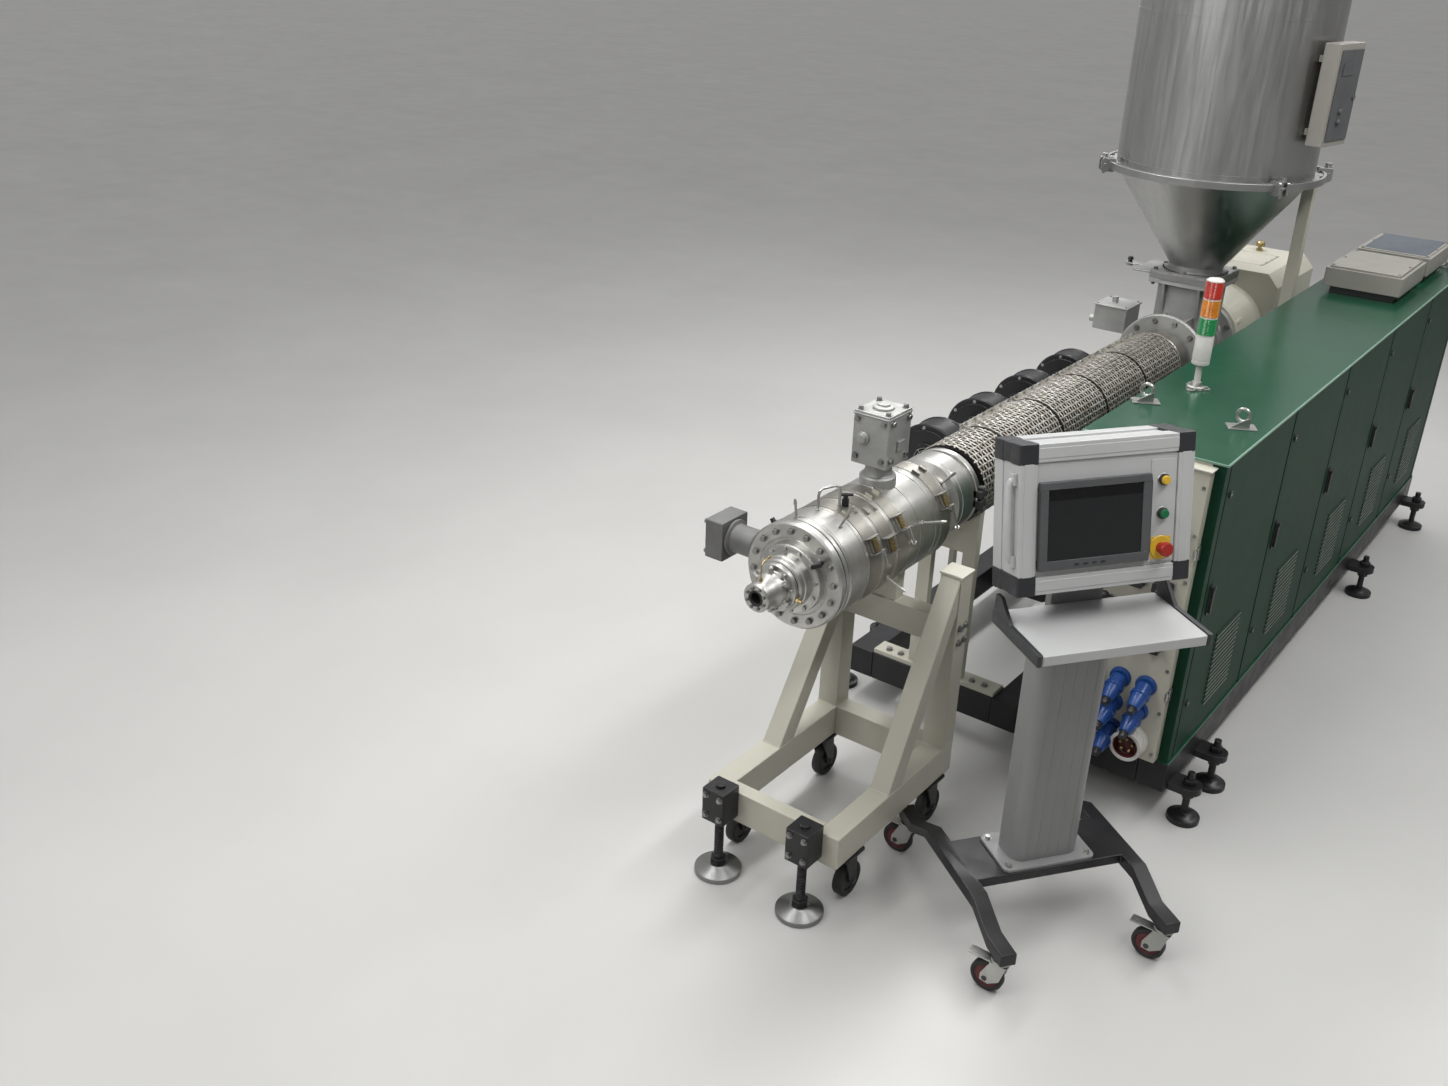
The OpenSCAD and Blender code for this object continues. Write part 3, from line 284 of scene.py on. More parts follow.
class Finish:
    """One procedural material, wired node by node."""

    def __init__(self, name, colour, rough, metallic=0.0, **sockets):
        self.material = bpy.data.materials.new(name)
        self.material.use_nodes = True
        self.tree = self.material.node_tree
        self.shader = self.tree.nodes["Principled BSDF"]
        self.set(self.shader, Roughness=rough, Metallic=metallic, **sockets)
        self.shader.inputs["Base Color"].default_value = (*colour, 1)
        self.colour = colour
        self.place = self.tree.nodes.new("ShaderNodeTexCoord").outputs["Object"]
        FINISHES[name] = self.material

    def set(self, node, **values):
        for key, value in values.items():
            node.inputs[key.replace("_", " ")].default_value = value
        return node

    def make(self, kind, feeds=(), **values):
        """Node with outputs fed in by socket name, and values set on the other sockets."""
        node = self.set(self.tree.nodes.new(kind), **values)
        for key, source in feeds:
            self.tree.links.new(source, node.inputs[key])
        return node

    def scaled(self, scale, centre=(0, 0, 0)):
        """The object's coordinates, scaled about a centre."""
        m = self.make("ShaderNodeMapping", [("Vector", self.place)], Scale=scale)
        m.inputs["Location"].default_value = [-c * s for c, s in zip(centre, scale)]
        return m.outputs["Vector"]

    def noise(self, vector, scale, detail=3.0, rough=0.55):
        return self.make("ShaderNodeTexNoise", [("Vector", vector)], Scale=scale, Detail=detail,
                         Roughness=rough).outputs["Fac"]

    def range(self, value, low, high, a=0.3, b=0.7):
        """Value from a to b spread from low to high."""
        node = self.make("ShaderNodeMapRange", [("Value", value)])
        for key, v in (("From Min", a), ("From Max", b), ("To Min", low), ("To Max", high)):
            node.inputs[key].default_value = v
        return node.outputs["Result"]

    def over(self, factor, under, colour):
        """Colour laid over another, each a colour or an output, as far as factor lets it."""
        mix = self.tree.nodes.new("ShaderNodeMix")
        mix.data_type = "RGBA"
        self.tree.links.new(factor, mix.inputs[0])
        for socket, value in ((mix.inputs[6], under), (mix.inputs[7], colour)):
            if hasattr(value, "links"):
                self.tree.links.new(value, socket)
            else:
                socket.default_value = (*value, 1)
        return mix.outputs[2]

    def tint(self, factor, dark, light):
        """The finish's own colour between darker and lighter by two factors."""
        return self.over(factor, [c * dark for c in self.colour], [min(c * light, 1) for c in self.colour])

    def calc(self, kind, a, b):
        """Math node with two outputs fed in."""
        made = self.tree.nodes.new("ShaderNodeMath")
        made.operation = kind
        self.tree.links.new(a, made.inputs[0])
        self.tree.links.new(b, made.inputs[1])
        return made.outputs[0]

    def bump(self, height, strength, distance=0.001):
        node = self.make("ShaderNodeBump", [("Height", height)], Strength=strength, Distance=distance)
        self.tree.links.new(node.outputs["Normal"], self.shader.inputs["Normal"])

    def edge_wear(self, radius=0.003, start=0.02, end=0.2):
        """Mask that is 1 on convex edges."""
        bevel = self.make("ShaderNodeBevel", Radius=radius)
        bevel.samples = 2
        flat = self.tree.nodes.new("ShaderNodeNewGeometry").outputs["Normal"]
        dot = self.tree.nodes.new("ShaderNodeVectorMath")
        dot.operation = "DOT_PRODUCT"
        self.tree.links.new(bevel.outputs["Normal"], dot.inputs[0])
        self.tree.links.new(flat, dot.inputs[1])
        return self.range(dot.outputs["Value"], 1, 0, 1 - end, 1 - start)

    def wire(self, output, socket):
        self.tree.links.new(output, self.shader.inputs[socket])


def paint(name, colour, rough=0.34, wear=0.5, peel=0.06, dust=0.10, shine=0.5, uneven=0.08):
    """Sprayed enamel with a slight orange peel, patchy gloss and chipped edges."""
    f = Finish(name, colour, rough, Specular_IOR_Level=shine)
    patch = f.noise(f.place, 2.3, 4.0)
    tone = f.tint(f.range(patch, 0, 1), 0.93, 1.06)
    smear = f.range(f.noise(f.scaled((9, 9, 3)), 1.6, 5.0), 0, dust, 0.45, 0.75)
    tone = f.over(smear, tone, [0.5 * c + 0.22 for c in colour])
    if wear:
        ragged = f.range(f.noise(f.place, 55.0, 4.0), 0, 1, 0.5 - 0.1 * wear, 0.72)
        tone = f.over(f.calc("MULTIPLY", f.edge_wear(), ragged), tone, [0.45 * c + 0.2 for c in colour])
    f.wire(tone, "Base Color")
    f.wire(f.range(f.noise(f.place, 11.0, 3.0), rough - 0.75 * uneven, rough + uneven), "Roughness")
    f.bump(f.noise(f.place, 420.0, 2.0), peel)
    return f


def metal(name, colour, rough, stretch, scale=60.0, grain=0.10, cloud=0.12):
    """Rolled or ground metal whose fine scratches run along the least of stretch."""
    f = Finish(name, colour, rough, 1.0)
    streak = f.noise(f.scaled(stretch), scale, 4.0, 0.65)
    patch = f.noise(f.place, 4.0, 3.0)
    f.wire(f.tint(f.range(patch, 0, 1), 1 - cloud, 1 + cloud), "Base Color")
    f.wire(f.range(streak, rough - 0.07, rough + 0.13), "Roughness")
    f.bump(streak, grain, 0.0006)
    return f


def woven(name, bright, dull, rough):
    """Strips from light to brownish, each a little different."""
    f = Finish(name, bright, rough, 0.75)
    tone = f.tint(f.range(f.noise(f.place, 5.0), 0, 1), 0.8, 1.05)
    f.wire(f.over(f.range(f.noise(f.place, 42.0, 3.0), 0, 1, 0.4, 0.62), tone, dull), "Base Color")
    f.wire(f.range(f.noise(f.place, 90.0, 2.0), rough - 0.08, rough + 0.12), "Roughness")
    return f


def turned_steel(name, colour, rough, centre=(0, 0, AXIS_H)):
    """Lathe marks round the extrusion axis, with heat and handling stains."""
    f = Finish(name, colour, rough, 1.0)
    c = spot(centre)
    centred = f.scaled((1, 1, 1), c)
    split = f.make("ShaderNodeSeparateXYZ", [("Vector", centred)])
    flat = f.make("ShaderNodeCombineXYZ", [("X", split.outputs["X"]), ("Y", split.outputs["Z"])])
    radius = f.tree.nodes.new("ShaderNodeVectorMath")
    radius.operation = "LENGTH"
    f.tree.links.new(flat.outputs[0], radius.inputs[0])
    groove = f.make("ShaderNodeCombineXYZ", [("X", radius.outputs["Value"]), ("Y", split.outputs["Y"])])
    marks = f.noise(groove.outputs[0], 520.0, 3.0, 0.6)
    stain = f.noise(f.place, 9.0, 5.0, 0.6)
    f.wire(f.tint(f.range(stain, 0, 1), 0.72, 1.12), "Base Color")
    f.wire(f.calc("ADD", f.range(marks, rough - 0.06, rough + 0.10), f.range(stain, 0.08, -0.04)), "Roughness")
    f.bump(marks, 0.16, 0.0005)
    return f


def cast(name, colour, rough=0.5, metallic=0.6):
    """Sand-cast iron left grey."""
    f = Finish(name, colour, rough, metallic)
    grain = f.noise(f.place, 160.0, 5.0, 0.7)
    f.wire(f.tint(f.range(f.noise(f.place, 7.0, 4.0), 0, 1), 0.8, 1.15), "Base Color")
    f.wire(f.range(grain, rough - 0.08, rough + 0.12), "Roughness")
    f.bump(grain, 0.35)
    return f


def plastic(name, colour, rough=0.4, texture=0.08, scale=900.0):
    """Moulded plastic or rubber with a fine spark-eroded texture."""
    f = Finish(name, colour, rough)
    f.wire(f.tint(f.range(f.noise(f.place, 14.0, 3.0), 0, 1), 0.9, 1.1), "Base Color")
    f.wire(f.range(f.noise(f.place, 30.0, 3.0), rough - 0.05, rough + 0.08), "Roughness")
    f.bump(f.noise(f.place, scale, 2.0), texture)
    return f


def screen_glass(name):
    """Dark display behind a coated front glass."""
    f = Finish(name, (0.006, 0.007, 0.008), 0.10, Coat_Weight=0.6, Coat_Roughness=0.04)
    f.wire(f.range(f.noise(f.place, 26.0, 4.0), 0.08, 0.2), "Roughness")
    return f


def lens(name, colour):
    """Ribbed signal lamp lens."""
    f = Finish(name, colour, 0.18, Coat_Weight=0.4, Subsurface_Weight=0.25)
    ribs = f.noise(f.scaled((1, 1, 0.001)), 260.0, 1.0)
    f.wire(f.tint(f.range(f.noise(f.place, 40.0), 0, 1), 0.85, 1.1), "Base Color")
    f.bump(ribs, 0.4)
    return f


def make_finishes(p):
    paint("green_paint", p.green, 0.42, 0.0, 0.0, 0.008, 0.16, 0.015)
    paint("green_roof", p.green, 0.22, 0.0, 0.0, 0.01, 0.42, 0.03)
    # Painted highlight: a lighter green for the strips along the roof's edges and the cabinet's lower edge
    paint("green_edge", [2.0 * c + 0.10 for c in p.green], 0.35, 0.0, 0.02, 0.0)
    # Painted shade: doors, cabinet posts and louvre hoods take the cabinet green darkened to 0.56 times, for
    # the shade on the door side
    paint("green_door", [0.56 * c for c in p.green], 0.48, 0.0, 0.0, 0.006, 0.10, 0.015)
    # Painted highlight: the louvre slats' lips are pale grey, not the door green, for the light along their
    # edges
    paint("green_slat", (0.17, 0.175, 0.145), 0.4, 0.0, 0.02, 0.0)
    paint("navy_paint", (0.012, 0.012, 0.014), 0.42, 0.3, 0.04, 0.03, 0.3)
    paint("cream_paint", p.cream, 0.38, 0.5, 0.05, 0.06)
    paint("motor_paint", (0.06, 0.075, 0.09), 0.42, 0.4, 0.12)
    paint("console_white", p.silver, 0.34, 0.0, 0.02, 0.02)
    paint("black_enamel", (0.010, 0.010, 0.011), 0.36, 0.3, 0.08, 0.03, 0.4)
    paint("column_silver", (0.21, 0.213, 0.21), 0.38, 0.0, 0.04, 0.03)
    paint("hood_cream", (0.24, 0.23, 0.205), 0.42, 0.4, 0.05, 0.06)
    metal("stainless", p.steel, 0.36, (11, 11, 0.6), 4.0, 0.012, 0.03)
    metal("ground_steel", (0.40, 0.40, 0.39), 0.36, (1, 30, 30), 6.0)
    metal("zinc", (0.44, 0.44, 0.42), 0.36, (6, 6, 6), 12.0, 0.08, 0.2)
    woven("mesh_metal", (0.56, 0.545, 0.51), (0.34, 0.305, 0.255), 0.42)
    metal("mesh_dark", (0.03, 0.028, 0.026), 0.6, (8, 1, 8), 20.0, 0.1, 0.2)
    metal("bolt_steel", (0.28, 0.28, 0.27), 0.36, (9, 9, 9), 12.0, 0.1, 0.25)
    metal("band_metal", (0.36, 0.345, 0.31), 0.38, (1, 12, 1), 14.0, 0.06, 0.25)
    metal("brass", (0.42, 0.33, 0.16), 0.32, (8, 8, 8), 9.0)
    turned_steel("die_steel", (0.54, 0.535, 0.51), 0.34)
    cast("cast_grey", (0.38, 0.38, 0.365))
    cast("dark_cast", (0.05, 0.05, 0.05), 0.5, 0.3)
    cast("cast_mid", (0.17, 0.17, 0.163))
    plastic("black_plastic", (0.012, 0.012, 0.013), 0.42)
    plastic("grey_plastic", (0.022, 0.023, 0.026), 0.42)
    plastic("bezel_grey", (0.075, 0.077, 0.08), 0.45)
    plastic("blue_plastic", (0.008, 0.045, 0.19), 0.32)
    plastic("white_plastic", (0.50, 0.49, 0.46), 0.38)
    plastic("red_plastic", (0.30, 0.018, 0.012), 0.36)
    plastic("dark_red_plastic", (0.055, 0.008, 0.008), 0.42)
    plastic("yellow_plastic", (0.60, 0.38, 0.03), 0.36)
    plastic("green_plastic", (0.01, 0.13, 0.05), 0.34)
    plastic("maroon_rubber", (0.10, 0.014, 0.016), 0.55, 0.15, 500.0)
    plastic("black_rubber", (0.015, 0.015, 0.015), 0.62, 0.2, 500.0)
    screen_glass("screen_glass")
    plastic("screen_dark", (0.002, 0.002, 0.0025), 0.25)
    lens("red_lens", (0.45, 0.02, 0.008))
    lens("amber_lens", (0.60, 0.20, 0.01))
    lens("green_lens", (0.01, 0.22, 0.06))


# Geometry Nodes

def rule(name, inputs):
    """Empty Geometry Nodes tree with named inputs."""
    tree = bpy.data.node_groups.new(name, "GeometryNodeTree")
    face = tree.interface
    face.new_socket("Geometry", in_out="INPUT", socket_type="NodeSocketGeometry")
    for label, kind, value in inputs:
        s = face.new_socket(label, in_out="INPUT", socket_type=kind)
        if value is not None:
            s.default_value = value
    face.new_socket("Geometry", in_out="OUTPUT", socket_type="NodeSocketGeometry")
    return tree, tree.nodes.new("NodeGroupInput"), tree.nodes.new("NodeGroupOutput")


def node(tree, kind, feeds=(), **values):
    made = tree.nodes.new(kind)
    for key, value in values.items():
        if hasattr(made, key):
            setattr(made, key, value)
        else:
            made.inputs[key.replace("_", " ")].default_value = value
    for key, source in feeds:
        tree.links.new(source, made.inputs[key])
    return made


def fastener_rule():
    """Hexagon or round bolt heads with washers, on points that carry an aim."""
    tree, give, take = rule("Fasteners", [
        ("Head radius", "NodeSocketFloat", 0.008), ("Head height", "NodeSocketFloat", 0.006),
        ("Sides", "NodeSocketInt", 6), ("Washer", "NodeSocketFloat", 1.35),
        ("Seed", "NodeSocketInt", 3), ("Material", "NodeSocketMaterial", None)])
    g = give.outputs
    half = node(tree, "ShaderNodeMath", [(0, g["Head height"])], operation="MULTIPLY")
    half.inputs[1].default_value = 0.65
    head = node(tree, "GeometryNodeMeshCylinder",
                [("Vertices", g["Sides"]), ("Radius", g["Head radius"]), ("Depth", g["Head height"])])
    lift = node(tree, "ShaderNodeCombineXYZ", [("Z", half.outputs[0])])
    up = node(tree, "GeometryNodeTransform",
              [("Geometry", head.outputs["Mesh"]), ("Translation", lift.outputs[0])])
    wide = node(tree, "ShaderNodeMath", [(0, g["Head radius"]), (1, g["Washer"])], operation="MULTIPLY")
    thin = node(tree, "ShaderNodeMath", [(0, g["Head height"])], operation="MULTIPLY")
    thin.inputs[1].default_value = 0.3
    washer = node(tree, "GeometryNodeMeshCylinder", [("Radius", wide.outputs[0]), ("Depth", thin.outputs[0])],
                  Vertices=16)
    both = node(tree, "GeometryNodeJoinGeometry")
    tree.links.new(up.outputs[0], both.inputs[0])
    tree.links.new(washer.outputs["Mesh"], both.inputs[0])
    aim = node(tree, "GeometryNodeInputNamedAttribute", data_type="FLOAT_VECTOR", Name="aim")
    aligned = node(tree, "FunctionNodeAlignRotationToVector", [("Vector", aim.outputs["Attribute"])], axis="Z")
    spin = node(tree, "FunctionNodeRandomValue", [("Seed", g["Seed"])], data_type="FLOAT")
    spin.inputs[3].default_value = math.tau
    about = node(tree, "FunctionNodeAxisAngleToRotation", [("Angle", spin.outputs[1])], Axis=(0, 0, 1))
    turned = node(tree, "FunctionNodeRotateRotation",
                  [("Rotation", aligned.outputs[0]), ("Rotate By", about.outputs[0])], rotation_space="LOCAL")
    on = node(tree, "GeometryNodeInstanceOnPoints",
              [("Points", g["Geometry"]), ("Instance", both.outputs[0]), ("Rotation", turned.outputs[0])])
    real = node(tree, "GeometryNodeRealizeInstances", [("Geometry", on.outputs[0])])
    coat = node(tree, "GeometryNodeSetMaterial", [("Geometry", real.outputs[0]), ("Material", g["Material"])])
    tree.links.new(coat.outputs[0], take.inputs[0])
    return tree


def weave_rule():
    """Basket of flat strips round a drum about Z, over and under one another."""
    tree, give, take = rule("Woven cover", [
        ("Radius", "NodeSocketFloat", 0.140), ("Length", "NodeSocketFloat", 0.38),
        ("Bars", "NodeSocketInt", 40), ("Rings", "NodeSocketInt", 15),
        ("Strip", "NodeSocketFloat", 0.0046), ("Wave", "NodeSocketFloat", 0.0045),
        ("Flat", "NodeSocketFloat", 0.4), ("Uneven", "NodeSocketFloat", 0.006),
        ("Material", "NodeSocketMaterial", None)])
    g = give.outputs

    def calc(kind, a, b=None):
        made = node(tree, "ShaderNodeMath", operation=kind)
        for i, v in enumerate((a, b)):
            if hasattr(v, "links"):
                tree.links.new(v, made.inputs[i])
            elif v is not None:
                made.inputs[i].default_value = v
        return made.outputs[0]

    pitch = calc("DIVIDE", g["Length"], g["Rings"])
    step = calc("DIVIDE", math.tau, g["Bars"])
    both = node(tree, "GeometryNodeJoinGeometry")
    for ringed in (False, True):
        rows, length = (g["Rings"], math.tau) if ringed else (g["Bars"], g["Length"])
        ends = node(tree, "ShaderNodeCombineXYZ")
        if ringed:
            ends.inputs["Z"].default_value = length
        else:
            tree.links.new(length, ends.inputs["Z"])
        line = node(tree, "GeometryNodeCurvePrimitiveLine", [("End", ends.outputs[0])])
        across = calc("ADD", calc("MULTIPLY", g["Bars"] if ringed else g["Rings"], 2), 1)
        cut = node(tree, "GeometryNodeResampleCurve", [("Curve", line.outputs[0]), ("Count", across)])
        stride = node(tree, "ShaderNodeCombineXYZ", [("X", pitch if ringed else step)])
        start = node(tree, "ShaderNodeCombineXYZ", [("X", calc("MULTIPLY", pitch if ringed else step, 0.5))])
        points = node(tree, "GeometryNodeMeshLine",
                      [("Count", rows), ("Offset", stride.outputs[0]), ("Start Location", start.outputs[0])])
        on = node(tree, "GeometryNodeInstanceOnPoints",
                  [("Points", points.outputs[0]), ("Instance", cut.outputs[0])])
        real = node(tree, "GeometryNodeRealizeInstances", [("Geometry", on.outputs[0])])
        real_spot = node(tree, "GeometryNodeInputPosition").outputs[0]
        split = node(tree, "ShaderNodeSeparateXYZ", [(0, real_spot)])
        row, run = split.outputs["X"], split.outputs["Z"]
        angle, height = (run, row) if ringed else (row, run)
        turns = calc("ADD", calc("DIVIDE", angle, step), calc("DIVIDE", height, pitch))
        lift = calc("MULTIPLY", calc("COSINE", calc("MULTIPLY", turns, math.pi)), g["Wave"])
        rough = node(tree, "ShaderNodeTexNoise", [("Vector", real_spot)])
        rough.inputs["Scale"].default_value = 38
        uneven = calc("MULTIPLY", calc("SUBTRACT", rough.outputs[0], 0.5), g["Uneven"])
        r = calc("SUBTRACT" if ringed else "ADD", calc("ADD", g["Radius"], uneven), lift)
        there = node(tree, "ShaderNodeCombineXYZ",
                     [("X", calc("MULTIPLY", calc("COSINE", angle), r)),
                      ("Y", calc("MULTIPLY", calc("SINE", angle), r)), ("Z", height)])
        bent = node(tree, "GeometryNodeSetPosition",
                    [("Geometry", real.outputs[0]), ("Position", there.outputs[0])])
        bar = node(tree, "GeometryNodeCurvePrimitiveCircle",
                   [("Radius", calc("MULTIPLY", g["Strip"], 1.0 if ringed else 0.72))], Resolution=6)
        solid = node(tree, "GeometryNodeCurveToMesh",
                     [("Curve", bent.outputs[0]), ("Profile Curve", bar.outputs[0])], Fill_Caps=True)
        tree.links.new(solid.outputs[0], both.inputs[0])
    split = node(tree, "ShaderNodeSeparateXYZ", [(0, node(tree, "GeometryNodeInputPosition").outputs[0])])
    x, y, z = split.outputs
    r = calc("SQRT", calc("ADD", calc("MULTIPLY", x, x), calc("MULTIPLY", y, y)))
    pressed = calc("ADD", g["Radius"], calc("MULTIPLY", calc("SUBTRACT", r, g["Radius"]), g["Flat"]))
    share = calc("DIVIDE", pressed, r)
    there = node(tree, "ShaderNodeCombineXYZ",
                 [("X", calc("MULTIPLY", x, share)), ("Y", calc("MULTIPLY", y, share)), ("Z", z)])
    flat = node(tree, "GeometryNodeSetPosition",
                [("Geometry", both.outputs[0]), ("Position", there.outputs[0])])
    coat = node(tree, "GeometryNodeSetMaterial", [("Geometry", flat.outputs[0]), ("Material", g["Material"])])
    tree.links.new(coat.outputs[0], take.inputs[0])
    return tree


def grow(obj, tree, **values):
    """Turns the result of a tree into the object's plain mesh."""
    rule_mod = obj.modifiers.new("Rule", "NODES")
    rule_mod.node_group = tree
    for item in tree.interface.items_tree:
        if item.in_out == "INPUT" and item.name.replace(" ", "_") in values:
            rule_mod[item.identifier] = values[item.name.replace(" ", "_")]
    bpy.context.view_layer.update()
    mesh = bpy.data.meshes.new_from_object(obj.evaluated_get(bpy.context.evaluated_depsgraph_get()))
    obj.modifiers.remove(rule_mod)
    obj.data = mesh
    return obj


def bolts(name, places, r, h, finish="bolt_steel", sides=6, washer=1.35, slot=""):
    """Bolt heads at [(point, direction)], in millimetres."""
    mesh = bpy.data.meshes.new(name)
    mesh.from_pydata([spot(p) for p, _ in places], [], [])
    aim = mesh.attributes.new("aim", "FLOAT_VECTOR", "POINT")
    for i, (_, d) in enumerate(places):
        aim.data[i].vector = Vector(d).normalized()
    obj = linked(name, mesh)
    tree = bpy.data.node_groups.get("Fasteners") or fastener_rule()
    grow(obj, tree, Head_radius=r * 0.001, Head_height=h * 0.001, Sides=sides, Washer=washer, Seed=3,
         Material=FINISHES[finish])
    return settle(obj, "root", finish, slot)


def circle_of(n, r, y, start=0.0, direction=(0, -1, 0)):
    """Bolt places on a circle about the extrusion axis; no direction means radially outwards."""
    places = []
    for i in range(n):
        a = math.radians(start + 360 * i / n)
        out = Vector((math.cos(a), 0, math.sin(a)))
        places.append((Vector((0, y, AXIS_H)) + out * r, direction or out))
    return places


# Sizes that a user would change

class ExtruderLooks(bpy.types.PropertyGroup):
    """Colours"""
    green: FloatVectorProperty(name="Cabinet green", description="Enamel of roof, walls and doors",
                               subtype="COLOR", default=(0.010, 0.060, 0.031), min=0, max=1)
    cream: FloatVectorProperty(name="Cream", description="Enamel of stand, gearbox and end panel",
                               subtype="COLOR", default=(0.44, 0.425, 0.355), min=0, max=1)
    silver: FloatVectorProperty(name="Console frame", description="Powder coat of the console's profiles",
                                subtype="COLOR", default=(0.43, 0.435, 0.43), min=0, max=1)
    steel: FloatVectorProperty(name="Stainless", description="Colour of the hopper's sheet", subtype="COLOR",
                               default=(0.42, 0.42, 0.41), min=0, max=1)


class ExtruderSizes(bpy.types.PropertyGroup):
    """Counts and pitches of what repeats"""
    weave_bars: IntProperty(name="Cover bars", description="Strips that run along a woven cover",
                            default=40, min=20, max=60)
    weave_pitch: FloatProperty(name="Cover pitch",
                               description="Distance between the strips round a cover in millimetres",
                               default=19.5, min=12, max=40)
    face_bolts: IntProperty(name="Face plate bolts", description="Bolts round the die's face plate",
                            default=16, min=8, max=24)
    slats: IntProperty(name="Louvre slats", description="Slats in each door's louvre",
                       default=15, min=6, max=20)


class ExtruderStage(bpy.types.PropertyGroup):
    """Camera and lamps"""
    focal: FloatProperty(name="Focal length", description="Focal length of the photograph's view",
                         default=33.83, min=20, max=80, unit="CAMERA")
    key: FloatProperty(name="Key light", description="Power of the overhead lamps",
                       default=140, min=0, max=2000, unit="POWER")
    sky: FloatProperty(name="Sky", description="Strength of the room's light", default=0.45, min=0, max=2)


# Cabinet

DOOR_X = 898
DOOR_Y = [1196 + 655 * i for i in range(5)]
DOOR_W = 641
DOOR_Z = (239, 1293)
# Louvre, handle and locks, from the door's free edge and from the floor
LOUVRE_Y, LOUVRE_Z, LOUVRE_W, LOUVRE_H = 222, 334, 236, 282
HANDLE_Y = 43
LOCK_Y, LOCK_Z = 36, (430, 1183)


def build_doors(s):
    """Five doors, each with sheet, louvre, handle and locks, with painted shade in the louvre's openings and a
    darkened green for the shaded door side.
    """
    for i, y0 in enumerate(DOOR_Y):
        body = "door_%d" % (i + 1)
        sheet = Form()
        x = DOOR_X
        sheet.box((x - 20, y0, DOOR_Z[0]), (x, y0 + DOOR_W, DOOR_Z[1]))
        for z in (DOOR_Z[0], DOOR_Z[1] - 5):
            sheet.box((x - 4, y0 + DOOR_W - 1, z), (x, y0 + DOOR_W + 5, z + 5))
        for z in (DOOR_Z[0] - 5.7, DOOR_Z[1] - 5):
            sheet.put(shift(x, y0 + DOOR_W + 5, z)).rod(4, 10.7, 16)
        gap = LOUVRE_H / s.slats
        lips, hoods = Form(), Form()
        for k in range(s.slats):
            here = shift(x, y0 + LOUVRE_Y, LOUVRE_Z + k * gap) @ UPRIGHT
            hoods.put(here)
            hoods.prism([(-0.2, gap * 0.44), (5.6, gap * 0.12), (5.6, gap * 0.2), (0.8, gap * 0.9),
                         (-0.2, gap * 0.9)], LOUVRE_W)
            lips.put(here)
            lips.prism([(5.4, gap * 0.08), (6.8, gap * 0.08), (6.8, gap * 0.26), (5.4, gap * 0.26)], LOUVRE_W)
        # Painted shade: louvre hoods and door sheet take the darkened door green
        piece(body + "_hoods", hoods, "green_door", body, (), 0.3)
        # Painted highlight: pale lips along the slats
        piece(body + "_slats", lips, "green_slat", body, ())
        piece(body + "_sheet", sheet, "green_door", body, [body], 1.6)
        # Painted shade: a thin dark plate on the door face under each slat, for the shade in the louvre's
        # openings
        dark = Form()
        y1 = y0 + LOUVRE_Y
        for k in range(s.slats):
            z = LOUVRE_Z + k * gap
            dark.box((x - 0.1, y1, z - 1), (x + 0.4, y1 + LOUVRE_W, z + 0.5 * gap))
        dark.put(shift(x, y0 + HANDLE_Y, 815) @ TO_RIGHT).rounded(112, 26, 4, 10)
        dark.put(shift(x + 4, y0 + HANDLE_Y, 812) @ TO_RIGHT).rounded(88, 14, 9, 6)
        dark.put(shift(x + 4, y0 + HANDLE_Y, 858) @ TO_RIGHT).rod(9, 12, 24, 8)
        piece(body + "_handle", dark, "black_plastic", body, (), 0.8)
        lock, dark_slot = Form(), Form()
        for z in LOCK_Z:
            lock.put(shift(x, y0 + LOCK_Y, z) @ TO_RIGHT)
            lock.lathe([(0, 0), (13, 0), (13, 3), (11, 6), (7.5, 6), (7, 4.6), (0, 4.6)], 28, False)
            dark_slot.put(shift(x + 4.4, y0 + LOCK_Y, z)).box((0, -6, -1.6), (2.2, 6, 1.6))
        piece(body + "_locks", lock, "black_enamel", body, (), 0.3, slot="bright_zinc")
        piece(body + "_slots", dark_slot, "zinc", body)


ROOF_Z = 1304
CABINET_Y = (1146, 4507)
PANEL_Y = 1105


def build_cabinet(s):
    """Shell, end panel and base frame, with the roof's edge line and the cabinet's lower edge line as painted
    highlight strips.
    """
    edged("cabinet_roof", "green_roof", 3.0)
    edged("cabinet_floor", "green_paint", 2.0)
    edged("cabinet_walls", "green_paint", 1.0)
    # Painted shade: the posts take the darkened door green
    edged("cabinet_posts", "green_door", 2.5)
    edged("connector_panel", "cream_paint", 2.0)
    edged("base_side_beams", "navy_paint", 4.0)
    edged("base_cross_beams", "navy_paint", 4.0)
    edged("machine_feet", "black_enamel", 1.2)
    front, back = CABINET_Y
    low, high = ROOF_Z - 5, ROOF_Z + 1.5
    # Painted highlight: lighter green strips along the roof's door-side and front edges and along the cabinet's
    # lower edge
    lip = Form()
    lip.box((DOOR_X + 0.2, front, low), (904.5, back, high))
    lip.box((434, front - 5.5, low), (904.5, front, high))
    lip.box((DOOR_X + 0.2, front, 227), (903, back, 232))
    piece("roof_lip", lip, "green_edge", bevel=0.8)
    edge = [((x, PANEL_Y, z), (0, -1, 0)) for x in (482, 853) for z in range(270, 1270, 160)]
    bolts("end_panel_screws", edge, 5, 4, sides=16, washer=1.25, slot="cream_paint")


# Roof and end panel fittings

HOOD_X = 494
HOOD_Y = (3518, 4018)
HOOD_SIZE = (320, 430, 80)
HOOD_FOOT = 32
HOOD_RIM = 14
EYES = ((482, 1540), (815, 1510), (482, 4468), (815, 4468))
EYE_LOOP = 20.5
TOWER = (561, 1795)
LENS_Z = ROOF_Z + 190
LENS_H = 63


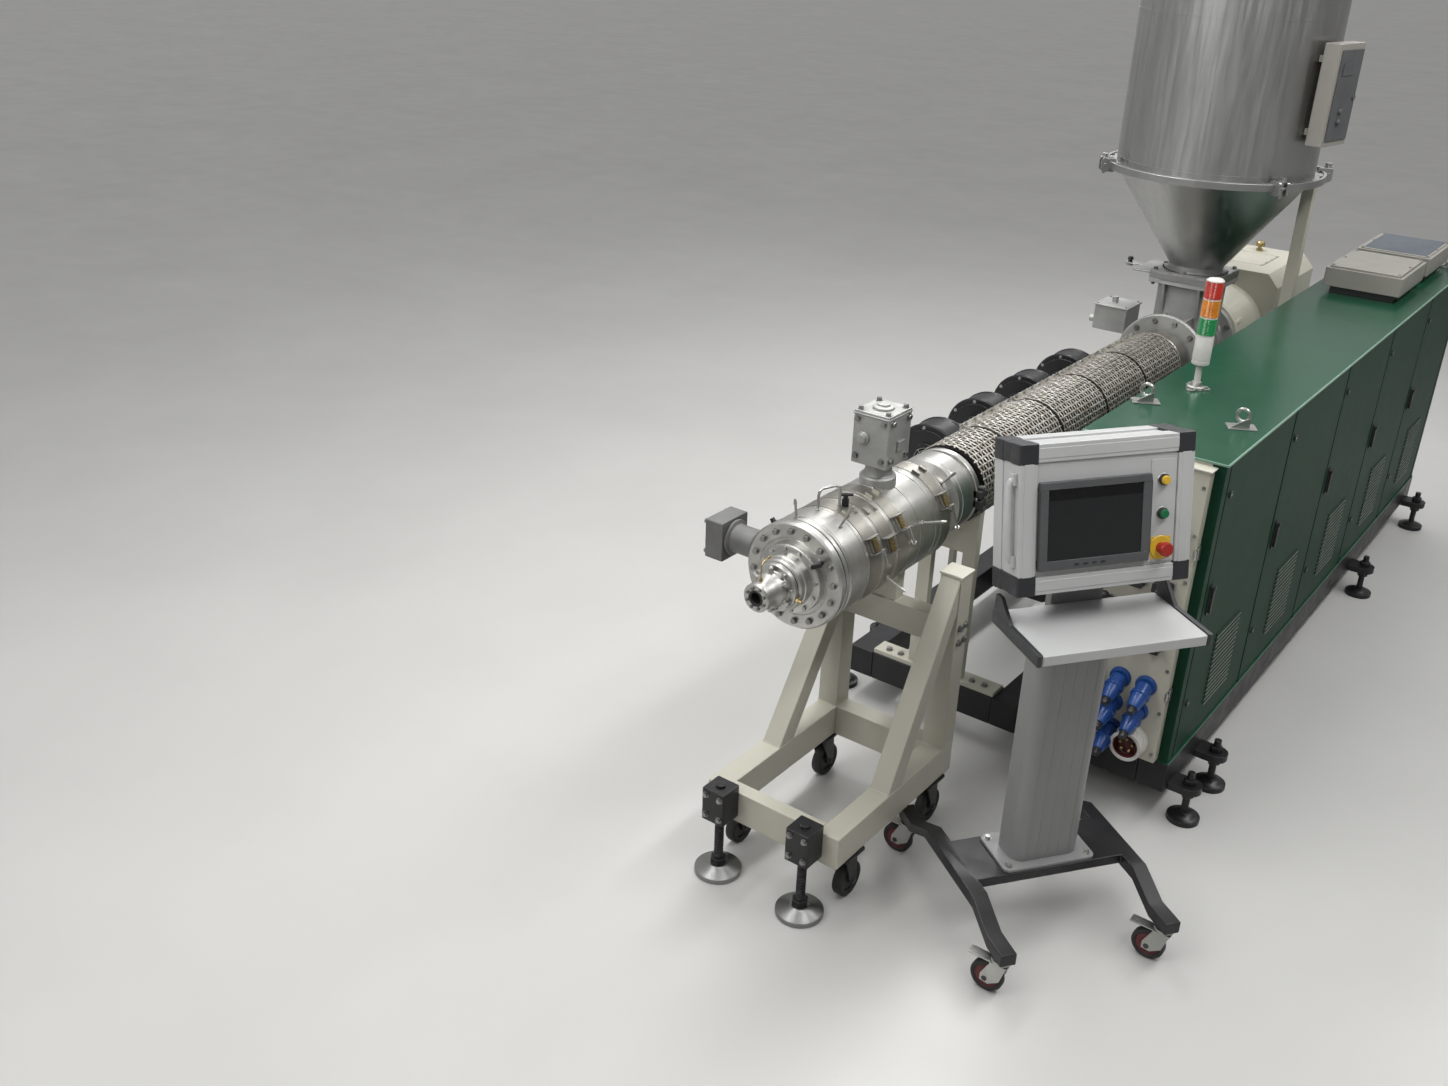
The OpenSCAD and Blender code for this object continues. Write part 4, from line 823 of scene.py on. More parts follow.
def roof_hoods():
    """Fan hoods with their lids and louvre, and painted shade in their vents and under their fronts."""
    hoods = Form()
    w, d, h = HOOD_SIZE
    for y in HOOD_Y:
        hoods.put(shift(HOOD_X, y, ROOF_Z))
        hoods.box((30, 30, 0), (290, 400, HOOD_FOOT))
        hoods.put(shift(HOOD_X + w / 2, y + d / 2, ROOF_Z + HOOD_FOOT)).rounded(w, d, h, 9)
    piece("fan_hood_cases", hoods, "hood_cream", replaces=["roof_fan_hoods"], bevel=2.0)
    lid_w, lid_d, lid_z = w - 2 * HOOD_RIM, d - 2 * HOOD_RIM, ROOF_Z + HOOD_FOOT + h
    top = Form()
    top.put(shift(HOOD_X + w / 2, HOOD_Y[0] + d / 2, lid_z)).rounded(lid_w, lid_d, 8, 6)
    top.put(shift(HOOD_X + HOOD_RIM, HOOD_Y[1] + HOOD_RIM, lid_z)).box((0, 0, 0), (lid_w, lid_d, 4))
    piece("fan_hood_lids", top, "hood_cream", bevel=1.2)
    grille = Form()
    for k in range(24):
        y = 4046 + k * 15.8
        grille.put(shift(520, y, lid_z + 4))
        grille.add([(0, 0, 0), (268, 0, 0), (268, 11, 0), (0, 11, 0), (0, 8, 6), (268, 8, 6)],
                   [(0, 3, 2, 1), (0, 1, 5, 4), (1, 2, 5), (2, 3, 4, 5), (3, 0, 4)])
    piece("fan_hood_louvre", grille, "motor_paint", bevel=0.4)
    # Painted shade: dark plates for the vent slots beside each hood's foot, and a dark strip on the foot's
    # front under the hood's overhang
    dark = Form()
    for y in (3548, 4048):
        for k in range(11):
            dark.box((797.5, y + 20 + k * 31, ROOF_Z + 6), (798.6, y + 42 + k * 31, ROOF_Z + 26))
    for y in HOOD_Y:
        dark.box((522, y + 28, 1305), (786, y + 29.5, 1334))
    piece("fan_hood_vents", dark, "black_plastic")
    screws = [((x, y, lid_z + 8), (0, 0, 1)) for x in (518, 790) for y in (3545, 3733, 3920)]
    screws += [((x, y, lid_z + 4), (0, 0, 1)) for x in (514, 794) for y in (4042, 4233, 4424)]
    bolts("fan_hood_screws", screws, 5, 4, "zinc", sides=16, slot="cream_paint")


def roof_rings():
    """Lifting rings on folded plates."""
    plates, rings = Form(), Form()
    for x, y in EYES:
        here = shift(x, y, ROOF_Z)
        plates.put(here @ turn(30)).rounded(92, 60, 4, 5)
        plates.put(here @ turn(30) @ shift(0, -14, 3) @ TO_FRONT)
        plates.prism([(-40, 0), (22, 0), (22, 34), (16, 34)], 4)
        rings.put(here).rod(14, 10, 6, None, 4)
        rings.lathe([(0, 12), (12, 12), (9, 22), (0, 22)], 28, False)
        loop = []
        for a in range(0, 361, 15):
            loop.append((EYE_LOOP * math.sin(math.radians(a)), 0, 42 - EYE_LOOP * math.cos(math.radians(a))))
        rings.put(here).sweep(loop, 5.6, 10)
    piece("lifting_rings", rings, "zinc", replaces=["lifting_eyes"])
    piece("lifting_plates", plates, "ground_steel", bevel=0.5)


def roof_tower():
    """Signal tower with three lenses."""
    flange = Form()
    foot = shift(*TOWER, ROOF_Z)
    for k in range(3):
        ear = foot @ turn(120 * k + 20)
        flange.put(ear).rounded(64, 26, 5, 12)
        flange.put(ear @ shift(34, 0, 0)).rod(15, 5.6, 28)
        flange.put(ear @ shift(34, 0, 5)).rod(8, 7, 6)
    flange.put(foot).lathe([(0, 0), (30, 0), (30, 9), (21, 12), (17, 26), (0, 26)], 40, False)
    piece("tower_flange", flange, "zinc", bevel=0.6)
    base = Form().put(foot)
    base.lathe([(0, 20), (13, 20), (11, 30), (11, 84), (26, 88), (30, 92), (30, 104), (29, 105), (29, 107),
                (30, 108), (30, 186), (28, 190), (0, 190)], 40, False)
    for k in range(3):
        base.put(shift(*TOWER, LENS_Z + LENS_H * k)).ring(29, 22, 5, 40)
    base.put(shift(*TOWER, LENS_Z + LENS_H * 3)).lathe([(0, 0), (30, 0), (30, 3), (24, 8), (0, 10)], 40, False)
    piece("tower_body", base, "white_plastic", replaces=["signal_tower"], bevel=0.5)
    for k, colour in enumerate(("green", "amber", "red")):
        ribs = []
        for i in range(12):
            z = 5 + i * 58 / 12
            ribs += [(28.8, z), (30, z + 2.4)]
        glass = Form().put(shift(*TOWER, LENS_Z + LENS_H * k))
        glass.lathe([(0, 5)] + ribs + [(28.8, LENS_H), (0, LENS_H)], 40, False)
        piece("tower_lens_" + colour, glass, colour + "_lens", slot="tower_plastic")


def build_roof(s):
    roof_hoods()
    roof_rings()
    roof_tower()


SOCKET_X = (795, 707, 619, 531)
SOCKET_Z = [672 + 105 * i for i in range(5)]
PLUG_Z = [320 + 98 * i for i in range(3)]
INLET = (781, PANEL_Y, 304)


def panel_sockets():
    """Multipole sockets in rows, with their levers."""
    frames, hoods, levers = Form(), Form(), Form()
    for x in SOCKET_X:
        for z in SOCKET_Z:
            here = shift(x, PANEL_Y, z)
            frames.put(here).box((-34, -6, -20), (34, 0, 20))
            hoods.put(here @ TO_FRONT).rounded(58, 33, 44, 5)
            hoods.put(here @ shift(0, -33, 16))
            hoods.lathe([(0, 0), (11, 0), (11, 8), (13, 9), (13, 16), (9, 22), (0, 22)], 20, False)
            levers.put(here)
            levers.sweep([(-31, -8, -12), (-32, -22, 0), (-31, -34, 4), (31, -34, 4), (32, -22, 0),
                          (31, -8, -12)], 1.6, 6)
    piece("socket_frames", frames, "cast_grey", replaces=["panel_sockets"], bevel=1.0, slot="dark_controls")
    piece("socket_hoods", hoods, "black_plastic", bevel=1.6)
    piece("socket_levers", levers, "zinc")


def panel_plugs():
    """Blue round plugs with ribbed nuts."""
    blue, rings, dark = Form(), Form(), Form()
    for x in SOCKET_X:
        for i, z in enumerate(PLUG_Z):
            if i == 0 and x > INLET[0]:
                continue
            flat = shift(x - (i % 2) * 12, PANEL_Y, z) @ TO_FRONT
            rings.put(flat).lathe([(0, 0), (36, 0), (36, 6), (33, 12), (27, 13), (0, 13)], 36, False)
            tip = flat @ shift(0, 0, 13) @ turn(24, "X")
            target = dark if i == 1 and x == SOCKET_X[-1] else blue
            target.put(tip)
            target.lathe([(0, 0), (27, 0), (27, 30), (31, 33), (31, 45), (27, 48), (26, 62), (20, 90), (17, 96),
                          (0, 96)], 36, False)
            for k in range(18):
                a = math.tau * k / 18
                target.put(tip @ shift(30.4 * math.cos(a), 30.4 * math.sin(a), 34)).rod(1.6, 10, 6)
            dark.put(tip @ shift(0, 0, 94))
            dark.lathe([(0, 0), (14, 0), (13, 4), (14, 8), (12, 12), (13, 16), (11, 24), (0, 24)], 24, False)
    piece("plug_bodies", blue, "blue_plastic", bevel=0.5)
    piece("plug_flanges", rings, "blue_plastic", bevel=0.5)
    piece("plug_glands", dark, "black_plastic")


def panel_inlet():
    """Round power inlet and the panel's latches."""
    at = shift(*INLET) @ TO_FRONT
    inlet = Form().put(at)
    inlet.lathe([(0, 0), (56, 0), (56, 20), (50, 24), (50, 56), (54, 58), (54, 62), (43, 62), (42, 58),
                 (42, 26), (0, 26)], 48, False)
    piece("inlet_collar", inlet, "white_plastic", bevel=0.6)
    inner = Form().put(at)
    inner.ring(42, 38, 20, 40, 40)
    inner.rod(37.6, 12, 40, None, 26)
    piece("inlet_insert", inner, "dark_red_plastic", bevel=0.4)
    pins = Form()
    for k in range(5):
        a = math.tau * k / 5 + 0.3
        pins.put(at @ shift(22 * math.cos(a), 22 * math.sin(a), 37))
        pins.lathe([(0, 0), (6, 0), (6, 14), (4, 17), (0, 17)], 16, False)
    piece("inlet_pins", pins, "brass")
    latch = Form()
    for z in (500, 1010):
        latch.put(shift(868, PANEL_Y + 16, z)).box((-3, -10, -22), (5, 12, 22))
        latch.put(shift(866, PANEL_Y - 2, z)).rod(5, 30, 12, None, -15)
    piece("panel_latches", latch, "zinc", bevel=0.8)


def build_sockets(s):
    panel_sockets()
    panel_plugs()
    panel_inlet()


# Die head

BORE_R = 18
FACE_Y = 185
FACE_R = 168
BODY_R = 165.5
SEAM_R = 163.6
# Place and half width of the seams between the body's jackets
SEAMS = ((246, 3), (330, 2), (347, 1), (571, 2), (640, 2), (735, 2))
FACE_CIRCLE, INNER_CIRCLE, NOSE_CIRCLE, TIP_CIRCLE = 142, 97, 63, 31
BAND_Y = (347, 427, 507, 768)
BAND_TURN = (-28, -20, -34, -30)
BAND_W = 62
# Place, turn and length of the thermocouples
PROBES = ((300, -62, 95), (462, 20, 80), (660, -20, 100), (890, -48, 80), (230, -100, 60))
TOP_BLOCK_Y = 630
TOP_PORT_Z = 1320
SIDE_BLOCK = (-360, 290, AXIS_H)


def die_turned():
    """Nozzle, face plate and body."""
    nose = Form().put(along_axis())
    nose.lathe([(BORE_R, 0), (40, 0), (44, 3), (44, 20), (41, 23), (41, 38), (46, 50), (52, 57), (54, 62),
                (54, 84), (56, 87), (71, 88.5), (74, 91.5), (74, 104), (71, 106), (71, 109), (76, 111),
                (80, 114), (80, 130), (84, 133), (84, 160), (104, 162), (108, 165), (108, FACE_Y),
                (BORE_R, FACE_Y)], 72)
    piece("nozzle_cone", nose, "die_steel", replaces=["die_nozzle"], bevel=0.5)
    bore = Form().put(along_axis())
    bore.lathe([(17.7, 6), (18.02, 6), (18.02, 184), (0, 184), (0, 30), (17.7, 30)], 40, False)
    bore.lathe([(18.1, -0.4), (25, -0.4), (25, 0.3), (18.1, 0.3)], 40)
    bore.ring(72.6, 70.6, 2.4, 64, 106.4)
    bore.ring(165.6, 163, 4, 96, 212.5)
    bore.ring(165.9, 160.5, 5, 96, 230)
    piece("nozzle_bore_shade", bore, "black_enamel")
    plate = Form().put(along_axis())
    plate.lathe([(0, FACE_Y), (118, FACE_Y), (119, 186.5), (121, 186.5), (122, FACE_Y), (162, FACE_Y),
                 (FACE_R, 191), (FACE_R, 211), (163.5, 212.5), (163.5, 216.5), (FACE_R, 218), (FACE_R, 231),
                 (165, 235), (0, 235)], 96, False)
    piece("face_plate_ring", plate, "die_steel", replaces=["die_face_plate"], bevel=0.4)
    body = Form().put(along_axis())
    profile = [(0, 235), (161, 235), (161, 239), (BODY_R, 242)]
    for y, half in SEAMS:
        profile += [(BODY_R, y - half), (SEAM_R, y - half + 0.4), (SEAM_R, y + half - 0.4), (BODY_R, y + half)]
    profile += [(BODY_R, 826), (162, 832), (158, 840), (148, 846), (141, 856), (124, 902), (118, 908),
                (118, 926), (128, 930), (140, 936), (140, 958), (138, 960), (138, 962.5), (140, 964.5),
                (140, 1034), (136, 1040), (120, 1044), (116, 1059.7), (0, 1059.7)]
    body.lathe(profile, 96, False)
    piece("die_barrel", body, "die_steel", replaces=["die_body"], bevel=0.4)


def die_bolts(s):
    """Bolt circles, with painted shade in their sockets."""
    face = circle_of(s.face_bolts, FACE_CIRCLE, FACE_Y, 6)
    inner = circle_of(12, INNER_CIRCLE, 162.5, 10)
    ends = circle_of(8, TIP_CIRCLE, 0.5, 22)
    front = circle_of(8, NOSE_CIRCLE, 88, 10)
    bolts("face_bolts", face, 8.5, 9, sides=20, washer=1.3)
    bolts("inner_bolts", inner, 6.5, 7, "zinc", sides=20, washer=1.2)
    bolts("tip_bolts", ends, 4.6, 5, sides=18, washer=1.15)
    bolts("nose_bolts", front, 6.5, 8, "zinc", sides=20, washer=1.2)
    bolts("centring_screws", circle_of(6, 53.5, 72, 32, None), 7.5, 14, "zinc", washer=1.35)
    rim = circle_of(1, 167.6, 222, 128, None) + circle_of(1, 167.6, 222, 263, None)
    bolts("rim_screws", rim, 8, 11, "black_enamel", washer=1.2)
    # Painted shade: a thin dark hexagon on each bolt head stands for the shade in its socket
    holes = Form()
    for places, r, h in ((face, 4, 9.1), (inner, 3.2, 7.1), (front, 3.2, 8.1), (ends, 2.4, 5.1)):
        for at, way in places:
            holes.put(Matrix.Translation(at) @ facing(way)).rod(r, 0.5, 6, None, h)
    a = math.radians(38)
    tee = shift(122 * math.cos(a), FACE_Y, AXIS_H + 122 * math.sin(a)) @ TO_FRONT
    holes.put(tee).rod(7, 30, 14)
    holes.put(tee @ turn(28)).box((-16, -6.5, 22), (16, 6.5, 33))
    piece("bolt_sockets", holes, "black_enamel", bevel=0.5)
    bolts("rear_screws", circle_of(10, 149, 852, 12, (0, 0.75, 0)), 6, 6, "bolt_steel", sides=20)


def die_bands():
    """Heater bands with terminals, springs and leads."""
    shells, boxes, brass, wires, cheeks = Form(), Form(), Form(), Form(), Form()
    for k, (y, a) in enumerate(zip(BAND_Y, BAND_TURN)):
        w = BAND_W
        shells.put(along_axis(y))
        shells.lathe([(165, 0), (167.2, 0), (167.2, 2), (166.4, 3), (166.4, w - 3), (167.2, w - 2), (167.2, w),
                      (165, w)], 96)
        for side in (0, 180):
            here = along_axis(y) @ turn(a + side)
            if side == 0:
                cheeks.put(here).box((166, -26, 6), (168.5, 26, w - 6))
                for m in (-26, 23):
                    cheeks.box((168, m, 4), (190, m + 3, w - 4))
                for z in (14, w - 20):
                    boxes.put(here).box((168, -20, z), (176, 20, z + 6))
                for m in range(-18, 19, 6):
                    brass.put(here @ shift(177, m, w / 2) @ TO_FRONT)
                    brass.lathe([(0, -2.2), (9, -2.2), (9, 2.2), (0, 2.2)], 16, False)
                    brass.put(here @ shift(177, m, w / 2 + 13) @ TO_FRONT)
                    brass.lathe([(0, -1.6), (5, -1.6), (5, 1.6), (0, 1.6)], 12, False)
                if k in (0, 2, 3):
                    start = here @ Vector((184, 24, w - 10))
                    lead = Vector((6, 30, -62)) if k < 3 else Vector((4, 44, -92))
                    wires.put(HERE).sweep([start, start + lead], 3.4, 8)
                    wires.put(shift(*(start + lead)) @ facing(lead)).ring(8, 4, 4, 20)
            else:
                boxes.put(here).box((166, -16, 14), (180, 16, 20))
                boxes.box((166, -16, w - 20), (180, 16, w - 14))
                boxes.put(here @ shift(174, 0, 8)).rod(3, w - 16, 10)
        mid = along_axis(y) @ turn(a - 42)
        for z in (10, w - 10):
            boxes.put(mid @ shift(166, 0, z)).box((-1, -14, -5), (9, 14, 5))
    piece("band_shells", shells, "band_metal", replaces=["heater_bands"], bevel=0.3)
    piece("band_boxes", boxes, "band_metal", bevel=0.5)
    piece("band_terminals", brass, "brass")
    piece("band_cheeks", cheeks, "ground_steel", bevel=0.5)
    piece("band_wires", wires, "ground_steel")


def die_fittings():
    """Thermocouples, hook, valve and the thin brass line on the nozzle."""
    probes = Form()
    for y, a, length in PROBES:
        base = along_axis(y) @ turn(a) @ shift(150 if y < 850 else 112, 0, 0) @ TO_RIGHT
        probes.put(base).rod(9, 18, 6, None, 4)
        probes.rod(4, length * 0.7, 14, None, 18)
        probes.rod(6, 16, 14, 3, 18 + length * 0.7)
    piece("thermocouples", probes, "zinc", bevel=0.3)
    hook = Form()
    path = [(-14, 318, 1163), (-14, 318, 1214), (-13, 322, 1224), (-10, 332, 1230), (8, 372, 1232),
            (14, 384, 1226), (16, 388, 1212), (16, 388, 1163)]
    hook.sweep(path, 4.5, 10)
    for x, y in ((-14, 318), (16, 388)):
        hook.put(shift(x, y, 1163)).rod(9, 6, 6)
    piece("die_hook", hook, "zinc", bevel=0.3)
    valve = Form().put(shift(28, 402, 1160)).rod(11, 26, 12)
    valve.rod(7, 16, 12, None, 26)
    valve.put(shift(28, 402, 1196) @ turn(40)).box((-22, -5, 0), (22, 5, 6))
    piece("die_valve", valve, "black_enamel", bevel=1.0)
    feed = Form()
    feed.sweep([(-8, 34, 1047), (-9, 34, 1062), (-10, 36, 1090), (-10, 46, 1096), (-12, 70, 1098)], 2.2, 8)
    feed.put(shift(-8, 34, 1040)).rod(5.5, 9, 6)
    feed.put(shift(-12, 70, 1098) @ TO_BACK).rod(4.5, 10, 6)
    a = math.radians(-14)
    out = Vector((math.cos(a), 0, math.sin(a)))
    feed.put(shift(*(Vector((0, 100, AXIS_H)) + out * 76)) @ facing(out)).rod(8, 8, 6)
    feed.rod(5, 9, 14, None, 8)
    piece("nose_brass", feed, "brass", bevel=0.3)


def die_clamp():
    """Clamp between die and barrel."""
    rim = Form().put(along_axis(1060))
    rim.lathe([(76, 0), (136, 0), (139, 3), (139, 22), (130, 26), (126, 42), (76, 42)], 72)
    piece("clamp_rim", rim, "die_steel", bevel=0.8)
    clamp = Form()
    for side in (-1, 1):
        clamp.put(shift(side * 138, 1081, AXIS_H)).box((-16, -21, 5), (16, 21, 30))
        clamp.box((-16, -21, -30), (16, 21, -5))
        for z, r, h, n in ((-44, 8, 88, 16), (30, 14, 12, 6), (-42, 14, 12, 6)):
            clamp.put(shift(side * 142, 1081, AXIS_H + z)).rod(r, h, n)
    piece("clamp_ring", clamp, "dark_cast", replaces=["barrel_clamp"], bevel=1.5, slot="base_navy")


def die_blocks():
    """Melt blocks on top and at the side."""
    top = Form()
    y = TOP_BLOCK_Y
    top.put(shift(0, y, 1235)).rounded(125, 137, 170, 5)
    top.put(shift(0, y, 1158))
    top.lathe([(0, -20), (58, -14), (58, 28), (52, 34), (46, 36), (42, 50), (42, 78), (0, 78)], 48, False)
    top.put(shift(0, y, 1405)).lathe([(0, 0), (34, 0), (34, 7), (20, 9), (20, 15), (0, 15)], 32, False)
    top.put(shift(0, y, 1393)).rounded(131, 143, 5, 6)
    top.put(shift(-22, y - 68, 1322) @ TO_FRONT)
    top.lathe([(0, 0), (21, 0), (21, 7), (16, 9), (16, 16), (13, 19), (0, 19)], 28, False)
    top.put(shift(62, y + 6, 1300)).box((0, -18, -16), (9, 18, 16))
    piece("top_block_body", top, "cast_grey", replaces=["top_inlet_block"], bevel=2.5)
    port = Form().put(shift(-62.5, y, TOP_PORT_Z) @ TO_LEFT).ring(44, 20.2, 6, 48)
    port.put(shift(*SIDE_BLOCK) @ TO_LEFT).ring(42, 20.2, 6, 48)
    piece("port_seats", port, "die_steel", bevel=0.5)
    dark = Form().put(shift(-62.3, y, TOP_PORT_Z) @ TO_RIGHT).rod(20, 2, 32)
    dark.put(shift(*SIDE_BLOCK) @ TO_RIGHT).rod(20, 2, 32, None, 0.5)
    for my in (-48, 48):
        for mz in (-48, 48):
            dark.put(shift(-62.6, y + my, TOP_PORT_Z + mz) @ TO_RIGHT).rod(5, 2, 16)
    piece("port_shade", dark, "black_plastic")
    side = Form().put(shift(*SIDE_BLOCK) @ TO_RIGHT)
    side.rounded(130, 130, 66, 6)
    side.lathe([(0, 66), (58, 66), (58, 74), (46, 80), (46, 158), (54, 164), (54, 190), (0, 194)], 48, False)
    piece("side_block_body", side, "cast_mid", replaces=["side_inlet_block"], bevel=2.5)
    x1, y1, z1 = SIDE_BLOCK
    heads = [((x1, y1 + a, z1 + b), (-1, 0, 0)) for a in (-50, 50) for b in (-50, 50)]
    heads += [((a, y + b, 1405), (0, 0, 1)) for a in (-48, 48) for b in (-52, 52)]
    heads += [((62.5, y + a, TOP_PORT_Z + b), (1, 0, 0)) for a in (-46, 46) for b in (-60, 60)]
    heads += [((a, y - 68.5, TOP_PORT_Z + b), (0, -1, 0)) for a in (-46, 46) for b in (-60, 60)]
    bolts("block_bolts", heads, 8, 9, sides=20)


def build_die(s):
    die_turned()
    die_bolts(s)
    die_bands()
    die_fittings()
    die_clamp()
    die_blocks()


# Barrel

# Start and length of the woven covers; the first hides the barrel's support ring
ZONE = 395
COVERS = [(1108, 227)] + [(1347 + ZONE * i, 383) for i in range(4)]
BARREL_R = 75.3
BLOWERS = [shift(-282, 1341 + ZONE * (i + 0.5), 905) for i in range(4)]


def build_barrel(s):
    """Woven covers with ridges and straps over dark drums."""
    drum, straps, ridge, heads = Form(), Form(), Form(), []
    for y, length in COVERS:
        drum.put(along_axis(y)).lathe([(BARREL_R, 0), (133, 0), (133, length), (BARREL_R, length)], 72)
        if y == COVERS[0][0]:
            sides = ()
        else:
            sides = (-128, 52)
            straps.put(along_axis(y - 14)).ring(143.5, 132, 16, 72)
        for a in sides:
            here = along_axis(y) @ turn(a)
            ridge.put(here).box((141, -13, 6), (150, 13, length - 6))
            ridge.box((150, -9, 10), (161, -3, length - 10))
            ridge.box((150, 3, 10), (161, 9, length - 10))
            n = max(2, int(length / 62))
            for k in range(n):
                z = 26 + k * (length - 52) / (n - 1)
                for e in (-1, 1):
                    heads.append((here @ Vector((155, e * 9, z)), (here.to_3x3() @ Vector((0, e, 0)))))
        obj = linked("cover_weave_%d" % int(y), bpy.data.meshes.new("cover_weave"))
        tree = bpy.data.node_groups.get("Woven cover") or weave_rule()
        grow(obj, tree, Radius=0.142, Length=length * 0.001, Bars=s.weave_bars,
             Rings=round(length / s.weave_pitch), Material=FINISHES["mesh_metal"])
        spun = along_axis(0)
        spun.translation = spot((0, y, AXIS_H))
        obj.data.transform(spun)
        settle(obj, "root", "mesh_metal", "cover_mesh", smooth=60)
    collar = Form().put(along_axis(COVERS[-1][0] + COVERS[-1][1] + 4)).lathe(
        [(BARREL_R, 0), (138, 0), (141, 3), (141, 78), (138, 82), (BARREL_R, 82)], 72)
    piece("cover_drums", drum, "mesh_dark", replaces=["zone_covers"])
    piece("cover_collar", collar, "band_metal", bevel=0.6, slot="cover_mesh")
    piece("cover_straps", straps, "mesh_dark", bevel=0.6)
    piece("cover_ridges", ridge, "mesh_metal", bevel=0.5)
    bolts("cover_bolts", heads, 6, 6, "zinc")


def build_blowers(s):
    """Four blowers beside the barrel, with guards and motors."""
    scroll, guard, motor, gland, rim = Form(), Form(), Form(), Form(), []
    for foot in BLOWERS:
        here = foot @ TO_BACK
        scroll.put(here)
        scroll.lathe([(0, -54), (60, -54), (60, -60), (132, -60), (138, -55), (138, -49), (134, -46), (134, 46),
                      (138, 49), (138, 55), (132, 60), (0, 60)], 72, False)
        scroll.put(here).ring(116, 62, 6, 64, -66)
        scroll.ring(67, 52, 16, 48, -76)
        guard.put(here)
        for r in (16, 28, 40, 50):
            guard.sweep([(r * c, r * d, -74) for c, d in unit_circle(18)], 1.6, 6)
        for c, d in unit_circle(8)[:-1]:
            guard.sweep([(8 * c, 8 * d, -74), (60 * c, 60 * d, -74)], 1.6, 6)
        profile = [(0, 60), (50, 60)]
        for k in range(9):
            profile += [(50, 64 + k * 10), (62, 65 + k * 10), (62, 69 + k * 10), (50, 70 + k * 10)]
        motor.put(here).lathe(profile + [(56, 156), (56, 160), (48, 168), (0, 168)], 48, False)
        motor.put(foot).box((-34, 84, 54), (34, 140, 96))
        gland.put(foot @ shift(-36, 112, 76) @ TO_LEFT)
        gland.lathe([(0, 0), (11, 0), (11, 8), (8, 9), (8, 18), (6, 24), (0, 24)], 20, False)
        duct = ((40, -124), (150, -124), (150, -48), (40, -48))
        bend = ((150, -124), (226, -124), (226, -40), (186, -12), (150, -20))
        scroll.put(foot).add([(x, y, z) for y in (-52, 52) for x, z in duct],
                             [(0, 1, 2, 3), (5, 4, 7, 6), (4, 0, 3, 7), (1, 5, 6, 2), (3, 2, 6, 7),
                              (4, 5, 1, 0)])
        scroll.add([(x, y, z) for y in (-52, 52) for x, z in bend],
                   [(0, 1, 2, 3, 4), (9, 8, 7, 6, 5), (5, 6, 1, 0), (1, 6, 7, 2), (2, 7, 8, 3), (3, 8, 9, 4),
                    (0, 4, 9, 5)])
        for k in range(8):
            a = math.tau * k / 8 + 0.2
            rim.append((foot @ Vector((124 * math.cos(a), -60, 124 * math.sin(a))), (0, -1, 0)))
    piece("blower_scrolls", scroll, "black_enamel", replaces=["blowers"], bevel=1.5)
    piece("blower_guards", guard, "zinc")
    piece("blower_motors", motor, "dark_cast", bevel=0.8)
    piece("blower_glands", gland, "black_plastic")
    bolts("blower_screws", rim, 5, 5, "zinc")


# Hopper

HOPPER_Y = 3300
GATE_Z = 1350
JOINT_Z = 1800
LID_Z = 2890
CLAMP_TURN = (30, 96, 216, 323)
BOX_TURN = -12
SEAM_TURN = 140
DUCT_TOP = 1302


def ring_places(n, r, z, start=0.0):
    """Upright bolt places on a circle about the hopper's middle."""
    made = []
    for k in range(n):
        a = math.radians(start + 360 * k / n)
        made.append((Vector((r * math.cos(a), HOPPER_Y + r * math.sin(a), z)), (0, 0, 1)))
    return made


def hopper_sheets():
    """Cone, shell and their welds."""
    at = shift(0, HOPPER_Y, 0)
    cone = Form().put(at)
    cone.lathe([(115, 1350), (142, 1350), (142, 1358), (118, 1358), (118, 1382), (408, 1788), (410, 1792),
                (448, 1792), (452, 1795), (452, 1799.7), (407, 1799.7), (407, 1792), (115, 1382)], 128)
    cone.put(shift(0, HOPPER_Y, GATE_Z)).rounded(300, 300, 8, 10)
    piece("hopper_cone_sheet", cone, "stainless", replaces=["hopper_cone"], bevel=0.3, smooth=24)
    seams = Form().put(at)
    seams.ring(411.5, 409.6, 5, 128, 1830)
    seams.ring(411.5, 409.6, 5, 128, 2430)
    seams.put(at @ turn(SEAM_TURN)).box((409.4, -3, 1810), (411.2, 3, 2876))
    seams.put(at @ turn(SEAM_TURN))
    seams.add([(118, -3, 1386), (118, 3, 1386), (406, 3, 1789), (406, -3, 1789), (120, -3, 1385),
               (120, 3, 1385), (408, 3, 1788), (408, -3, 1788)],
              [(0, 1, 2, 3), (7, 6, 5, 4), (4, 5, 1, 0), (5, 6, 2, 1), (6, 7, 3, 2), (7, 4, 0, 3)])
    piece("hopper_seams", seams, "stainless")
    shell = Form().put(at)
    shell.lathe([(407, 1800), (449, 1800), (452, 1803), (452, 1808), (410, 1808), (410, 2878), (425, 2878),
                 (428, 2881), (428, 2887), (425, 2890), (407, 2890)], 128)
    piece("hopper_sheet", shell, "stainless", replaces=["hopper_shell"], bevel=0.3, smooth=24)
    band = Form().put(at)
    band.ring(457, 444, 30, 128, 1785)
    piece("hopper_joint_band", band, "ground_steel", bevel=2.0, slot="stainless")


